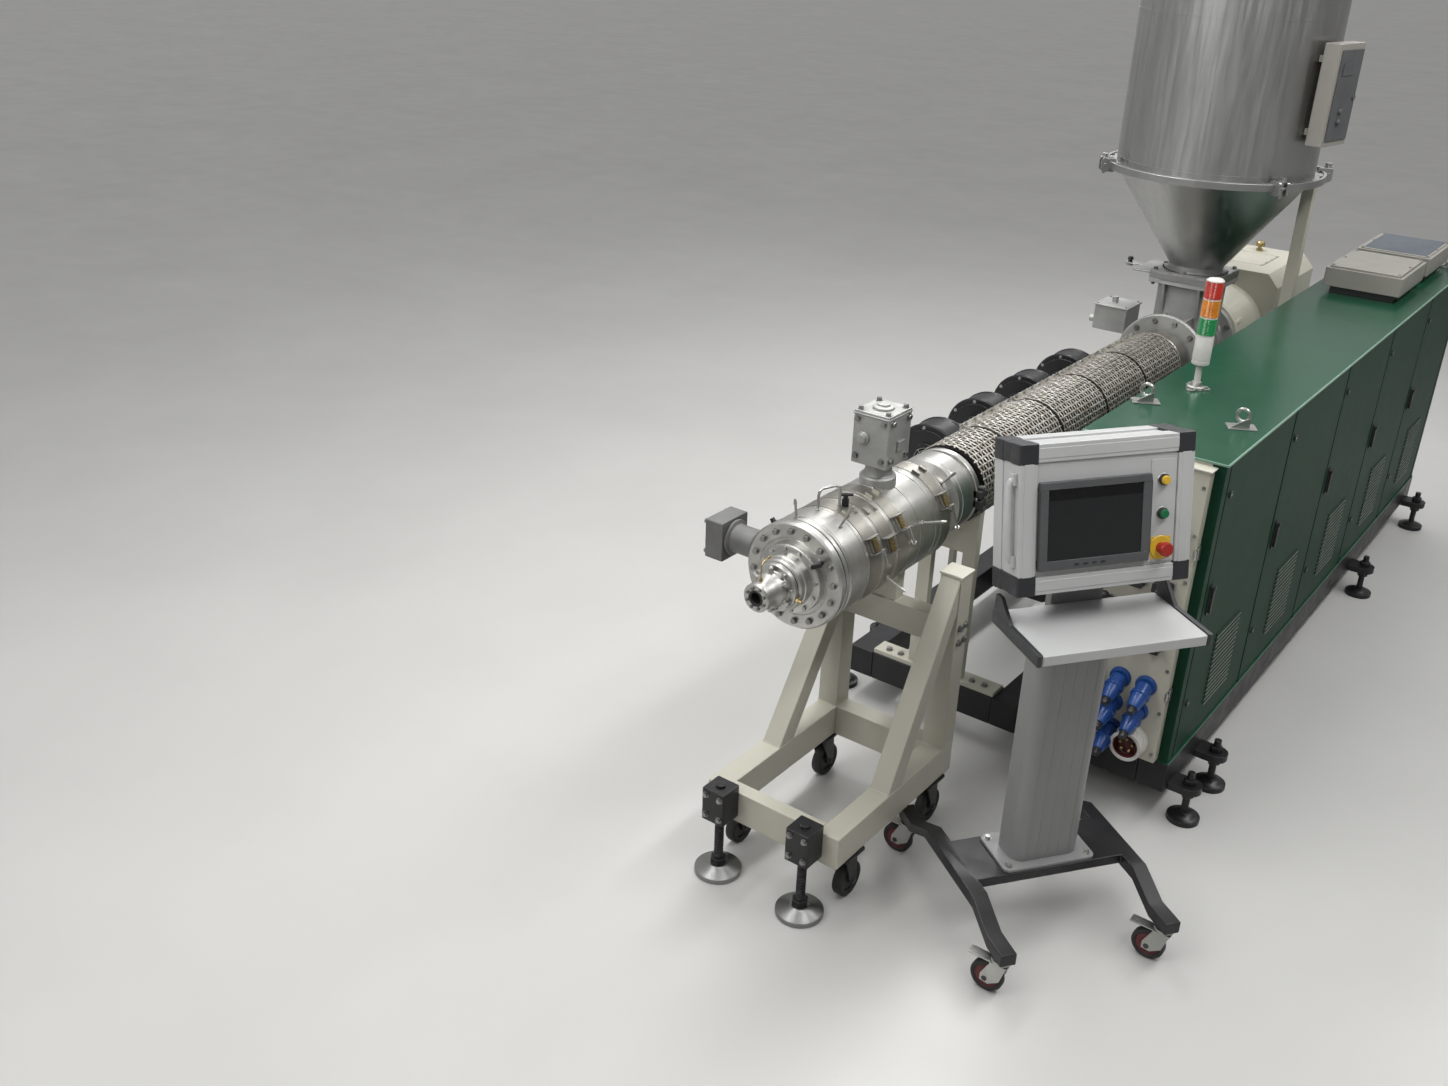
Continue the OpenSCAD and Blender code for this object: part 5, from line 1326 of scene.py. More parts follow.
def hopper_clamps():
    """Swing clamps and bolts of the joint."""
    at = shift(0, HOPPER_Y, 0)
    clamps, knobs = Form(), []
    for a in CLAMP_TURN:
        here = at @ turn(a)
        for side in (-1, 1):
            clamps.put(here @ shift(460, side * 19, JOINT_Z) @ TO_FRONT @ shift(0, 0, -6))
            clamps.rounded(62, 58, 12, 12)
        clamps.put(here @ shift(474, 26, JOINT_Z) @ TO_FRONT).rod(8, 52, 20)
        clamps.put(here @ shift(474, 0, JOINT_Z - 38)).rod(7, 80, 16)
        knobs.append((here @ Vector((474, 0, JOINT_Z + 30)), (0, 0, 1)))
        clamps.put(here).box((410, -22, 2700), (418, 22, 2820))
        clamps.box((430, -13, 2740), (438, 13, 2925))
        clamps.put(here @ shift(424, 20, 2755) @ TO_FRONT).rod(6, 40, 16)
        clamps.put(here).box((396, -13, 2916), (440, 13, 2926))
    piece("hopper_clamp_set", clamps, "ground_steel", replaces=["hopper_clamps"], bevel=1.2, slot="stainless")
    bolts("hopper_clamp_nuts", knobs, 14, 14, "zinc")
    bolts("hopper_ring_bolts", ring_places(20, 438, JOINT_Z + 8, 9), 6, 6, "bolt_steel", slot="stainless")


def hopper_lid():
    """Dished lid with grips."""
    lid = Form().put(shift(0, HOPPER_Y, LID_Z + 0.3))
    lid.lathe([(52, 0), (428, 0), (430, 4), (428, 8), (412, 8), (410, 10), (220, 63), (80, 64), (78, 66),
               (78, 103), (52, 103)], 128)
    piece("lid_dish", lid, "stainless", replaces=["hopper_lid"], bevel=0.5, smooth=24)
    grips = Form()
    for side in (-1, 1):
        x = side * 330
        bow = [(55 * q, 66 + 6 * (1 - abs(q))) for q in (-1, -0.9, -0.5, 0, 0.5, 0.9, 1)]
        grips.sweep([(x, HOPPER_Y + y, LID_Z + z) for y, z in [(-55, 26)] + bow + [(55, 26)]], 6.5, 12)
    piece("lid_grips", grips, "zinc")


def hopper_gate():
    """Slide gate in its frame."""
    edged("gate_frame", "ground_steel", 1.5)
    edged("slide_gate", "ground_steel", 1.0)
    collar = Form().put(shift(0, HOPPER_Y, GATE_Z)).ring(136, 118, 14, 64)
    piece("gate_collar", collar, "ground_steel", bevel=0.8, slot="stainless")
    heads = [((x, HOPPER_Y + y, 1358), (0, 0, 1)) for x in (-132, 0, 132) for y in (-132, 132)]
    heads += [((x, HOPPER_Y, 1358), (0, 0, 1)) for x in (-136, 136)]
    bolts("gate_bolts", heads, 9, 9, slot="stainless")
    handle = Form().put(shift(-302, HOPPER_Y, 1338))
    handle.lathe([(0, 0), (10, 0), (9, 8), (13, 12), (13, 18), (8, 24), (0, 24)], 24, False)
    handle.put(shift(-302, HOPPER_Y, 1322)).lathe([(0, 0), (14, 0), (15, 3), (15, 9), (0, 9.5)], 24, False)
    piece("gate_knob", handle, "black_plastic", "slide_gate")


def hopper_box():
    """Control box on its post."""
    box = Form()
    turned = shift(0, HOPPER_Y, 0) @ turn(BOX_TURN)
    box.put(turned @ shift(410 + 59, 0, 1965)).rounded(70, 200, 390, 8)
    for z in (2000, 2280):
        box.put(turned).box((407, -70, z), (440, 70, z + 26))
    piece("control_box_case", box, "hood_cream", replaces=["hopper_control_box"], bevel=1.5, slot="grey_cast")
    door = Form().put(turned).box((504, -84, 1988), (510, 84, 2332))
    door.put(turned @ shift(510, 70, 2150) @ TO_RIGHT).lathe([(0, 0), (11, 0), (11, 5), (0, 6)], 24, False)
    door.put(turned @ shift(510, -20, 2260)).box((0, -42, -24), (3, 42, 24))
    for z in (2060, 2100):
        door.put(turned @ shift(510, -20, z) @ TO_RIGHT)
        door.lathe([(0, 0), (13, 0), (13, 4), (9, 12), (0, 13)], 24, False)
    piece("control_box_door", door, "bezel_grey", bevel=1.0, slot="grey_cast")
    edged("hopper_post", "cream_paint", 2.0)


def build_hopper(s):
    hopper_sheets()
    hopper_clamps()
    hopper_lid()
    hopper_gate()
    hopper_box()


def build_feed(s):
    """Feed throat with duct, ribs and junction box."""
    cast_form = Form().put(along_axis())
    cast_form.lathe([(BARREL_R, 3025), (194, 3025), (200, 3031), (200, 3045), (194, 3050), (132, 3051),
                     (125, 3060), (125, 3455), (132, 3464), (178, 3464), (178, 3500), (0, 3500), (0, 3052),
                     (BARREL_R, 3051)], 96, False)
    for y in (3112, 3392):
        cast_form.put(along_axis(y)).ring(134, 120, 16, 72)
    cast_form.put(HERE)
    for side in (-1, 1):
        cast_form.box((side * 60 - 8, 3054, 1040), (side * 60 + 8, 3184, 1168))
    piece("throat_casting", cast_form, "cast_grey", bevel=1.2, replaces=["feed_throat"])
    duct = Form()
    # Four walls, then four sides of the flange on them
    for low, high, w, d in ((1040, DUCT_TOP, 115, 115), (DUCT_TOP, 1320, 150, 150)):
        y0, y1 = HOPPER_Y - d, HOPPER_Y + d
        duct.box((-w, y0, low), (-94, y1, high)).box((94, y0, low), (w, y1, high))
        duct.box((-94, y0, low), (94, HOPPER_Y - 94, high)).box((-94, HOPPER_Y + 94, low), (94, y1, high))
    piece("throat_duct", duct, "cast_grey", bevel=2.0)
    ribs = Form()
    for x in (-80, 80):
        for y0, y1 in ((3150, 3185), (3450, 3415)):
            ribs.put(shift(x - 6, 0, 0) @ ALONG_X)
            ribs.prism([(y1, 1150), (y1, DUCT_TOP), (y0, DUCT_TOP)], 12)
    piece("throat_ribs", ribs, "cast_grey", bevel=1.0)
    rims = circle_of(12, 172, 3025, 15) + circle_of(12, 160, 3464, 0)
    under = [((x, HOPPER_Y + y, DUCT_TOP), (0, 0, -1)) for x in (-134, 134) for y in (-134, 0, 134)]
    bolts("throat_bolts", rims, 10, 10, slot="grey_cast")
    bolts("throat_top_bolts", under, 9, 10, slot="grey_cast")
    edged("throat_box", "cast_grey", 2.0)
    screws = [((x, y, 1178), (0, 0, 1)) for x in (-342, -208) for y in (3088, 3232)]
    bolts("throat_box_screws", screws, 5, 4, "zinc", sides=16)
    glands = Form()
    for y in (3105, 3160, 3215):
        glands.put(shift(-350, y, 1100) @ TO_LEFT)
        glands.lathe([(0, 0), (15, 0), (15, 8), (11, 9), (11, 20), (8, 26), (0, 26)], 6, False)
    piece("throat_box_glands", glands, "black_plastic", bevel=0.6)


def build_drive(s):
    """Gearbox, bearing housing and motor, and the bare barrel on its support."""
    edged("gearbox", "cream_paint", 4.0)
    edged("bearing_housing", "cream_paint", 2.0)
    edged("drive_motor", "motor_paint", 1.0)
    heads = [((x, y, 1016), (0, 0, 1)) for x in (-262, 262) for y in range(3790, 4320, 78)]
    bolts("gearbox_joint_bolts", heads, 10, 10, slot="cream_paint")
    heads = [((x, y, 1280), (0, 0, 1)) for x in (-108, 108) for y in (3922, 4000, 4080, 4158)]
    bolts("gearbox_lid_bolts", heads, 7, 5, "zinc", sides=18, slot="cream_paint")
    bolts("gearbox_cap_bolts", circle_of(10, 132, 4346, 0, (0, 1, 0)), 9, 8, "bolt_steel", slot="cream_paint")
    bolts("bearing_bolts", circle_of(12, 198, 3699, 15), 9, 9, "bolt_steel", slot="cream_paint")
    lid = Form().box((-112, 3918, 1279), (112, 4162, 1284))
    piece("gearbox_lid", lid, "cream_paint", bevel=1.5)
    fittings = Form()
    fittings.put(shift(0, 4230, 1285))
    fittings.lathe([(0, -2), (16, -2), (16, 8), (10, 10), (10, 20), (22, 22), (22, 40), (16, 46), (0, 46)],
                   28, False)
    fittings.put(shift(-272, 4040, 760) @ TO_LEFT)
    fittings.lathe([(0, -24), (26, -24), (26, 0), (20, 4), (0, 4)], 32, False)
    fittings.put(shift(272, 3900, 560) @ TO_RIGHT).lathe([(0, -24), (15, -24), (15, 6), (0, 8)], 6, False)
    piece("gearbox_fittings", fittings, "brass", bevel=0.5)
    edged("barrel", "die_steel", 0.8)
    edged("barrel_support", "cream_paint", 2.0)
    heads = [((x, 1180, 244), (0, 0, 1)) for x in (-200, -150, 150, 200)]
    bolts("support_bolts", heads, 10, 9, slot="cream_paint")


# Die stand

JACK_X, JACK_Y = (-89, 225), -11
WHEEL_X, WHEEL_Y, WHEEL_Z = (-131.5, 281.5), (135, 632), 59
RAIL_TOP = 291


def stand_frame():
    """Rails, posts and braces."""
    for part in ("stand_rails", "stand_posts", "stand_braces"):
        edged(part, "cream_paint", 4.0)
    edged("stand_cross_beams", "cream_paint", 2.0)


def stand_jacks():
    """Two screw jacks."""
    blocks, screws, pads = Form(), Form(), Form()
    y = JACK_Y
    for x in JACK_X:
        blocks.put(shift(x, y, 207)).rounded(82, 82, 115, 4)
        blocks.put(shift(x, y, 322)).rod(17, 8, 6)
        blocks.put(shift(x, y, 34)).rod(27, 22, 6)
        thread = [(0, 30)]
        for k in range(30):
            thread += [(15, 30 + k * 6), (13, 33 + k * 6)]
        screws.put(shift(x, y, 0)).lathe(thread + [(0, 210)], 20, False)
        pads.put(shift(x, y, 0))
        pads.lathe([(0, 0), (72, 0), (75, 3), (75, 17), (72, 20), (34, 30), (30, 34), (0, 34)], 56, False)
    piece("jack_blocks", blocks, "black_enamel", replaces=["stand_jacks"], bevel=2.0)
    piece("jack_screws", screws, "black_enamel", slot="bright_zinc")
    piece("jack_pads", pads, "bolt_steel", bevel=0.8, slot="bright_zinc")
    heads = [((x + a, -52, 265 + b), (0, -1, 0)) for x in JACK_X for a in (-26, 26) for b in (-36, 36)]
    bolts("jack_bolts", heads, 8, 7, slot="black_cast")


def stand_wheels():
    """Four casters."""
    tyres, hubs, forks = Form(), Form(), Form()
    for x in WHEEL_X:
        for y in WHEEL_Y:
            at = shift(x, y + 24, WHEEL_Z) @ TO_RIGHT
            tyres.put(at)
            tyres.lathe([(40, -13), (50, -18), (56, -17), (59, -12), (59, 12), (56, 17), (50, 18), (40, 13)],
                        56)
            hubs.put(at)
            hubs.lathe([(0, -20), (14, -20), (15, -10), (40, -8), (40, 8), (15, 10), (14, 20), (0, 20)],
                       40, False)
            hubs.put(at @ shift(0, 0, -31)).rod(8, 62, 16)
            for side in (-1, 1):
                arm = shift(x + side * 24 - 3, y, 0) @ ALONG_X
                forks.put(arm).prism([(-30, 165), (8, 59), (24, 44), (42, 65), (34, 165)], 6)
            forks.put(shift(x, y + 1, 165)).rounded(60, 70, 8, 10)
            forks.put(shift(x, y, 173)).rounded(90, 100, 7.6, 8)
    piece("stand_tyres", tyres, "black_rubber", replaces=["stand_casters"], bevel=0.8)
    piece("stand_hubs", hubs, "dark_cast", bevel=0.6)
    piece("stand_forks", forks, "black_enamel", bevel=1.0)


def stand_welds():
    """Bolts and weld seams of the posts."""
    heads = [((-94, 647 + a, 712 + b), (-1, 0, 0)) for a in (20, 56) for b in (-26, 26)]
    heads += [((319, 684 + a, 712 + b), (1, 0, 0)) for a in (-18, 18) for b in (-26, 26)]
    bolts("stand_bolts", heads, 9, 8, slot="cream_paint")
    welds = Form()
    z = RAIL_TOP
    for x0, x1 in ((-169, -94), (244, 319)):
        welds.sweep([(x0, 647, z), (x1, 647, z), (x1, 722, z), (x0, 722, z), (x0, 647, z)], 3.2, 6)
        for y in (315, 399):
            welds.sweep([(x0 + 3, y, z), (x1 - 3, y, z)], 3.2, 6)
    piece("stand_welds", welds, "cream_paint")


def build_stand(s):
    stand_frame()
    stand_jacks()
    stand_wheels()
    stand_welds()


# Console

CONSOLE = shift(774, 451) @ turn(54)
COLUMN_Y = 26
SCREEN_Y = -65.5
CONSOLE_WHEELS = ((-262, -290), (262, -290), (-262, 356), (262, 356))
CASE = CONSOLE @ shift(0, 0, 1148) @ turn(-12, "X") @ shift(0, -27.5, 0)


def console_case():
    """Enclosure of profiles, corners and panels, with its grip."""
    bars, corners, plates = Form(), Form(), Form()
    w, d, h = 258, 71.5, 404
    for y0, y1 in ((-d, -d + 46), (d - 46, d)):
        bars.put(CASE)
        for z0, z1 in ((2, 50), (h - 50, h - 2)):
            bars.box((-w + 52, y0, z0), (w - 52, y1, z1))
        for x0, x1 in ((-w + 2, -w + 50), (w - 50, w - 2)):
            bars.box((x0, y0, 52), (x1, y1, h - 52))
    for z0, z1 in ((12, 40), (h - 40, h - 12)):
        bars.box((-w + 52, -d - 1.4, z0), (w - 52, -d + 2, z1))
    for x0, x1 in ((-w + 12, -w + 40), (w - 40, w - 12)):
        bars.box((x0, -d - 1.4, 52), (x1, -d + 2, h - 52))
    piece("console_profiles", bars, "console_white", replaces=["console_enclosure"], bevel=3.0)
    for sx in (-1, 1):
        for z in (0, h - 55):
            for y in (-d + 27, d - 27):
                corners.put(CASE @ shift(sx * (w - 27), y, z)).rounded(56, 56, 55, 8)
            corners.put(CASE @ shift(sx * (w - 27), 0, z + 1.5)).rounded(53, 60, 52, 3)
    piece("console_corners", corners, "grey_plastic", bevel=4.5)
    plates.put(CASE).box((-w + 5, -d + 40, 8), (w - 5, d - 40, h - 8))
    plates.box((-w + 50, -d + 6, 50), (w - 50, -d + 46, h - 50))
    plates.box((-w + 50, d - 46, 50), (w - 50, d - 8, h - 50))
    piece("console_panels", plates, "console_white", bevel=1.0)
    strip = Form().put(CASE).box((128, -d + 3, 58), (204, -d + 6, 336))
    piece("console_strip", strip, "console_white", bevel=0.6)
    grip = Form().put(CASE)
    grip.sweep([(-w, -40, 96), (-w - 10, -40, 98), (-w - 14, -40, 108), (-w - 14, -40, 296),
                (-w - 10, -40, 306), (-w, -40, 308)], 9, 12)
    for z in (78, 296):
        grip.box((-w - 9, -54, z), (-w + 1, -26, z + 30))
    piece("console_grip", grip, "console_white")


def console_screen():
    """Screen in its bezel."""
    x0, x1, z0, z1 = -202, 124, 66, 302
    y = SCREEN_Y
    bezel = Form().put(CASE)
    for low, high in (((x0, y - 15, z0), (x1, y, z0 + 26)), ((x0, y - 15, z1 - 20), (x1, y, z1)),
                      ((x0, y - 15, z0 + 26), (x0 + 24, y, z1 - 20)),
                      ((x1 - 24, y - 15, z0 + 26), (x1, y, z1 - 20))):
        bezel.box(low, high)
    piece("screen_bezel", bezel, "bezel_grey", replaces=["console_controls"], bevel=2.0)
    glass = Form().put(CASE).box((x0 + 23, y - 11, z0 + 25), (x1 - 23, y - 1, z1 - 19))
    piece("screen_pane", glass, "screen_glass", bevel=0.5)
    bar = Form().put(CASE).box((x0 + 24.5, y - 11.8, z1 - 50), (x1 - 24.5, y - 10, z1 - 20.5))
    piece("screen_bar", bar, "screen_dark")
    keys = Form()
    for k in range(4):
        keys.put(CASE @ shift(x0 + 110 + k * 26, y - 15, z0 + 12) @ TO_FRONT).rounded(14, 5, 1.2, 2)
    piece("screen_keys", keys, "grey_plastic")


def console_buttons():
    """Two lit buttons and the emergency stop."""
    at = CASE @ shift(165, SCREEN_Y, 0)
    rings, collars, yellow, green, red = Form(), Form(), Form(), Form(), Form()
    cap = [(0, 0), (12, 0), (12, 19), (10.5, 21.5), (0, 22)]
    for z, colour in ((281, yellow), (190, green)):
        button = at @ shift(0, 0, z) @ TO_FRONT
        rings.put(button).lathe([(12.4, 0), (17.5, 0), (17.5, 3), (16, 5), (12.4, 5)], 36)
        collars.put(button).lathe([(12.2, 5), (15.5, 5), (15.5, 11), (14, 13), (12.2, 13)], 36)
        colour.put(button).lathe(cap, 36, False)
    yellow.put(at @ shift(0, -2, 96) @ TO_FRONT)
    yellow.lathe([(0, 0), (33, 0), (33, 2.5), (31, 4), (0, 4)], 48, False)
    yellow.put(at).box((-30, -4, 66), (30, 0, 126))
    red.put(at @ shift(0, 0, 96) @ TO_FRONT)
    red.lathe([(0, 2), (15, 2), (15, 22), (20, 27), (20, 34), (17, 39), (8, 40), (0, 40)], 48, False)
    piece("button_rings", rings, "zinc")
    piece("button_collars", collars, "black_plastic", slot="dark_controls")
    piece("button_yellow", yellow, "yellow_plastic", bevel=0.6)
    piece("button_green", green, "green_plastic")
    piece("button_stop", red, "red_plastic")


def console_shelf():
    """Keyboard shelf between its sides."""
    shelf = Form()
    shelf.put(CONSOLE @ shift(0, -110, 1041)).rounded(488, 258, 30, 6)
    piece("shelf_top", shelf, "console_white", replaces=["console_shelf"], bevel=3.0)
    sides = Form()
    for sx in (-1, 1):
        sides.put(CONSOLE @ shift(sx * 251, -110, 1040)).rounded(16, 262, 35, 7)
        bracket = CONSOLE @ shift(sx * 251 - 7, 0, 0) @ ALONG_X
        sides.put(bracket).prism([(14, 1072), (14, 1128), (-14, 1128), (-80, 1072)], 14)
    piece("shelf_sides", sides, "grey_plastic", bevel=3.0)


def console_column():
    """Column with its foot."""
    column = Form().put(CONSOLE @ shift(0, COLUMN_Y, 233)).rounded(224, 122, 807, 40, 10)
    for x in (-70, -35, 0, 35, 70):
        column.put(CONSOLE).box((x - 2, COLUMN_Y - 62, 240), (x + 2, COLUMN_Y - 60.4, 1038))
    piece("column_profile", column, "column_silver", replaces=["console_column"], bevel=0.8)
    foot = Form().put(CONSOLE @ shift(0, COLUMN_Y, 223)).rounded(300, 180, 10, 20)
    foot.put(CONSOLE).box((-80, 23, 1040), (80, 53, 1156))
    piece("column_foot", foot, "column_silver", bevel=1.5)
    places = [(CONSOLE @ Vector((x, COLUMN_Y + y, 233)), (0, 0, 1)) for x in (-130, 130) for y in (-68, 68)]
    bolts("column_screws", places, 9, 7, "zinc")


def console_wheels():
    """Base with four swivel casters."""
    edged("console_base", "black_enamel", 4.0)
    for n, (x, y) in enumerate(CONSOLE_WHEELS, 1):
        at = CONSOLE @ Vector((x, y, 0))
        fork, wheel = "caster_fork_%d" % n, "caster_wheel_%d" % n
        edged(fork, "zinc", 0.8)
        hub = shift(at.x - 36, at.y, 50) @ TO_FRONT
        tyre = Form().put(hub)
        tyre.lathe([(36, -11), (40, -14), (47, -13), (50, -8), (50, 8), (47, 13), (40, 14), (36, 11)], 56)
        piece("caster_%d_tyre" % n, tyre, "black_rubber", wheel, [wheel], slot="wheel_maroon")
        core = Form().put(hub)
        core.lathe([(6.3, -16), (17, -16), (19, -10), (34, -9), (39.5, -12), (39.5, 12), (34, 9), (19, 10),
                    (17, 16), (6.3, 16)], 56)
        piece("caster_%d_core" % n, core, "maroon_rubber", wheel, bevel=0.6)
        nut = Form().put(hub @ shift(0, 0, -24)).rod(9, 5, 6)
        nut.put(hub @ shift(0, 0, 19)).rod(9, 5, 6)
        nut.put(shift(at.x - 72, at.y, 106)).rounded(52, 30, 5, 5)
        piece("caster_%d_nuts" % n, nut, "dark_cast", fork, bevel=0.8)


def build_console(s):
    console_case()
    console_screen()
    console_buttons()
    console_shelf()
    console_column()
    console_wheels()


# Stage

# The photograph's camera in metres, solved from points of the machine
CAMERA_RIGHT = (0.79238, 0.60919, 0.03182)
CAMERA_UP = (-0.28403, 0.32227, 0.90303)
CAMERA_BACK = (0.53986, -0.72459, 0.42839)
CAMERA_AT = (1.96721, -2.79942, 2.79226)
SENSOR = 36
FAR = 300
FLOOR = 160
# Place, size and share of the key light; the strips hang over both sides of the machine
STRIPS = (("strip_left", (-1.7, -0.4, 4.4), (0.45, 6.5), 1.1),
          ("strip_right", (1.9, -0.6, 4.5), (0.45, 6.5), 1.1))
LAMPS = (("lamp_back", (-1.2, 3.8, 5.0), (2.4, 2.4), 0.6), ("lamp_front", (-1.6, -5.6, 4.4), (2.2, 2.2), 0.6))
STRIP_TILT = 0.3
LAMP_AIM = (0, -0.6, 0.9)
# The room is brighter overhead and at the left, and plain grey to the camera
SKY_UP = (-0.45, 0, 1)
SKY_RANGE = (("From Min", -0.1), ("From Max", 0.75), ("To Min", 0.36), ("To Max", 1.25))
BACKDROP = (0.8, 0.8, 0.8, 1)


def add_camera(scene, focal):
    cam = bpy.data.cameras.new("photo_view")
    cam.lens = focal
    cam.sensor_width = SENSOR
    cam.clip_end = FAR
    eye = linked("photo_view", cam)
    place = Matrix(list(zip(CAMERA_RIGHT, CAMERA_UP, CAMERA_BACK))).to_4x4()
    place.translation = Vector(CAMERA_AT) - MID
    eye.matrix_world = place
    scene.camera = eye


def add_lamp(name, at, size, power, rotation):
    light = bpy.data.lights.new(name, "AREA")
    light.energy = power
    light.shape = "RECTANGLE"
    light.size, light.size_y = size
    lamp = linked(name, light)
    lamp.location = at
    lamp.rotation_euler = rotation


def add_room(scene, strength):
    world = bpy.data.worlds.new("studio_sky")
    scene.world = world
    world.use_nodes = True
    tree = world.node_tree
    sky = tree.nodes["Background"]
    sky.inputs["Strength"].default_value = strength
    way = tree.nodes.new("ShaderNodeTexCoord")
    lean = tree.nodes.new("ShaderNodeVectorMath")
    lean.operation = "DOT_PRODUCT"
    lean.inputs[1].default_value = SKY_UP
    height = tree.nodes.new("ShaderNodeMapRange")
    for key, value in SKY_RANGE:
        height.inputs[key].default_value = value
    seen = tree.nodes.new("ShaderNodeBackground")
    seen.inputs["Color"].default_value = BACKDROP
    mix = tree.nodes.new("ShaderNodeMixShader")
    path = tree.nodes.new("ShaderNodeLightPath")
    for output, socket in (
            (way.outputs["Generated"], lean.inputs[0]), (lean.outputs["Value"], height.inputs["Value"]),
            (height.outputs[0], sky.inputs["Color"]), (path.outputs["Is Camera Ray"], mix.inputs[0]),
            (sky.outputs[0], mix.inputs[1]), (seen.outputs[0], mix.inputs[2]),
            (mix.outputs[0], tree.nodes["World Output"].inputs[0])):
        tree.links.new(output, socket)


def build_stage_objects(p):
    """Floor, camera, lamps and room."""
    scene = bpy.context.scene
    bpy.ops.mesh.primitive_plane_add(size=FLOOR)
    floor = bpy.context.object
    floor.name = "studio_floor"
    f = Finish("studio_floor", (0.50, 0.495, 0.48), 0.42)
    f.wire(f.tint(f.range(f.noise(f.place, 0.8, 4.0), 0, 1), 0.95, 1.03), "Base Color")
    f.wire(f.range(f.noise(f.place, 3.0, 5.0), 0.36, 0.5), "Roughness")
    floor.data.materials.append(f.material)
    add_camera(scene, p.focal)
    for name, at, size, power in STRIPS:
        add_lamp(name, at, size, p.key * power, (0, math.copysign(STRIP_TILT, at[0]), 0))
    for name, at, size, power in LAMPS:
        aim = (Vector(LAMP_AIM) - Vector(at)).to_track_quat("-Z", "Y").to_euler()
        add_lamp(name, at, size, p.key * power, aim)
    add_room(scene, p.sky)
    scene.view_settings.view_transform = "Standard"


# Operators, one for each group of pieces

class EXTRUDER_OT_finishes(bpy.types.Operator):
    """Make the paints, metals and plastics"""
    bl_idname = "extruder.finishes"
    bl_label = "Finishes"

    def execute(self, context):
        make_finishes(context.scene.extruder_looks)
        return {"FINISHED"}


class EXTRUDER_OT_cabinet(bpy.types.Operator):
    """Dress the cabinet's shell and base frame"""
    bl_idname = "extruder.cabinet"
    bl_label = "Cabinet"

    def execute(self, context):
        build_cabinet(context.scene.extruder_sizes)
        return {"FINISHED"}


class EXTRUDER_OT_doors(bpy.types.Operator):
    """Make the five cabinet doors"""
    bl_idname = "extruder.doors"
    bl_label = "Doors"

    def execute(self, context):
        build_doors(context.scene.extruder_sizes)
        return {"FINISHED"}


class EXTRUDER_OT_roof(bpy.types.Operator):
    """Make fan hoods, lifting rings and the signal tower"""
    bl_idname = "extruder.roof"
    bl_label = "Roof fittings"

    def execute(self, context):
        build_roof(context.scene.extruder_sizes)
        return {"FINISHED"}


class EXTRUDER_OT_sockets(bpy.types.Operator):
    """Make the plugs, sockets and the power inlet"""
    bl_idname = "extruder.sockets"
    bl_label = "End panel"

    def execute(self, context):
        build_sockets(context.scene.extruder_sizes)
        return {"FINISHED"}


class EXTRUDER_OT_die(bpy.types.Operator):
    """Make nozzle, plates, heater bands and inlet blocks"""
    bl_idname = "extruder.die"
    bl_label = "Die head"

    def execute(self, context):
        build_die(context.scene.extruder_sizes)
        return {"FINISHED"}


class EXTRUDER_OT_barrel(bpy.types.Operator):
    """Make the woven zone covers"""
    bl_idname = "extruder.barrel"
    bl_label = "Barrel covers"

    def execute(self, context):
        build_barrel(context.scene.extruder_sizes)
        return {"FINISHED"}


class EXTRUDER_OT_blowers(bpy.types.Operator):
    """Make the cooling blowers"""
    bl_idname = "extruder.blowers"
    bl_label = "Blowers"

    def execute(self, context):
        build_blowers(context.scene.extruder_sizes)
        return {"FINISHED"}


class EXTRUDER_OT_hopper(bpy.types.Operator):
    """Make cone, shell, lid, clamps and slide gate"""
    bl_idname = "extruder.hopper"
    bl_label = "Hopper"

    def execute(self, context):
        build_hopper(context.scene.extruder_sizes)
        return {"FINISHED"}


class EXTRUDER_OT_feed(bpy.types.Operator):
    """Make the feed throat and its junction box"""
    bl_idname = "extruder.feed"
    bl_label = "Feed throat"

    def execute(self, context):
        build_feed(context.scene.extruder_sizes)
        return {"FINISHED"}


class EXTRUDER_OT_drive(bpy.types.Operator):
    """Dress gearbox, bearing housing and motor"""
    bl_idname = "extruder.drive"
    bl_label = "Drive"

    def execute(self, context):
        build_drive(context.scene.extruder_sizes)
        return {"FINISHED"}


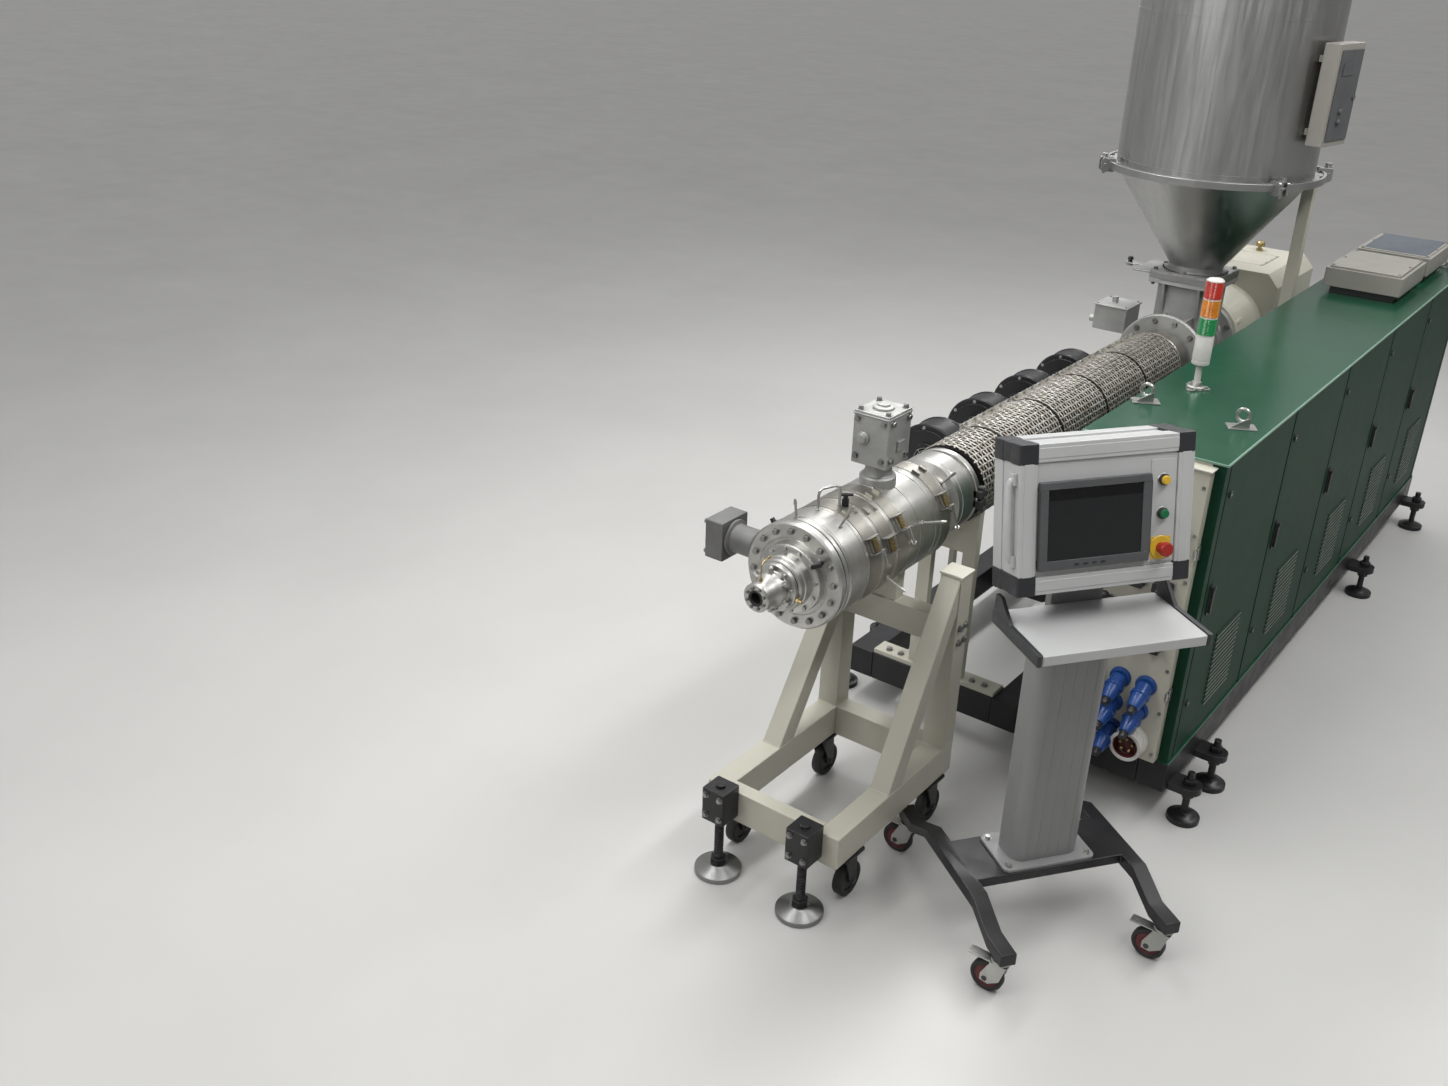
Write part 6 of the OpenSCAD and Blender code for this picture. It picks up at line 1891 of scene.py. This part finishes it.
class EXTRUDER_OT_stand(bpy.types.Operator):
    """Make the die stand with its jacks and casters"""
    bl_idname = "extruder.stand"
    bl_label = "Die stand"

    def execute(self, context):
        build_stand(context.scene.extruder_sizes)
        return {"FINISHED"}


class EXTRUDER_OT_console(bpy.types.Operator):
    """Make the operator console"""
    bl_idname = "extruder.console"
    bl_label = "Console"

    def execute(self, context):
        build_console(context.scene.extruder_sizes)
        return {"FINISHED"}


class EXTRUDER_OT_stage(bpy.types.Operator):
    """Set up floor, lamps and camera"""
    bl_idname = "extruder.stage"
    bl_label = "Stage"

    def execute(self, context):
        build_stage_objects(context.scene.extruder_stage)
        return {"FINISHED"}


class EXTRUDER_PT_panel(bpy.types.Panel):
    bl_idname = "EXTRUDER_PT_panel"
    bl_label = "Extruder"
    bl_space_type = "VIEW_3D"
    bl_region_type = "UI"
    bl_category = "Extruder"

    def draw(self, context):
        for group in (context.scene.extruder_looks, context.scene.extruder_sizes, context.scene.extruder_stage):
            for name in group.__annotations__:
                self.layout.prop(group, name)
        for step in STEPS:
            self.layout.operator(step.bl_idname)


GROUPS = (ExtruderLooks, ExtruderSizes, ExtruderStage)
STEPS = [EXTRUDER_OT_stage, EXTRUDER_OT_finishes, EXTRUDER_OT_cabinet, EXTRUDER_OT_doors, EXTRUDER_OT_roof,
         EXTRUDER_OT_sockets, EXTRUDER_OT_die, EXTRUDER_OT_barrel, EXTRUDER_OT_blowers, EXTRUDER_OT_hopper,
         EXTRUDER_OT_feed, EXTRUDER_OT_drive, EXTRUDER_OT_stand, EXTRUDER_OT_console]


def register():
    for c in (*GROUPS, *STEPS, EXTRUDER_PT_panel):
        bpy.utils.register_class(c)
    for name, group in zip(("looks", "sizes", "stage"), GROUPS):
        setattr(bpy.types.Scene, "extruder_" + name, PointerProperty(type=group))


def unregister():
    for name in ("looks", "sizes", "stage"):
        delattr(bpy.types.Scene, "extruder_" + name)
    for c in (EXTRUDER_PT_panel, *reversed(STEPS), *reversed(GROUPS)):
        bpy.utils.unregister_class(c)


def main():
    register()
    for step in STEPS:
        getattr(bpy.ops.extruder, step.bl_idname.split(".")[1])()


if __name__ == "__main__":
    main()
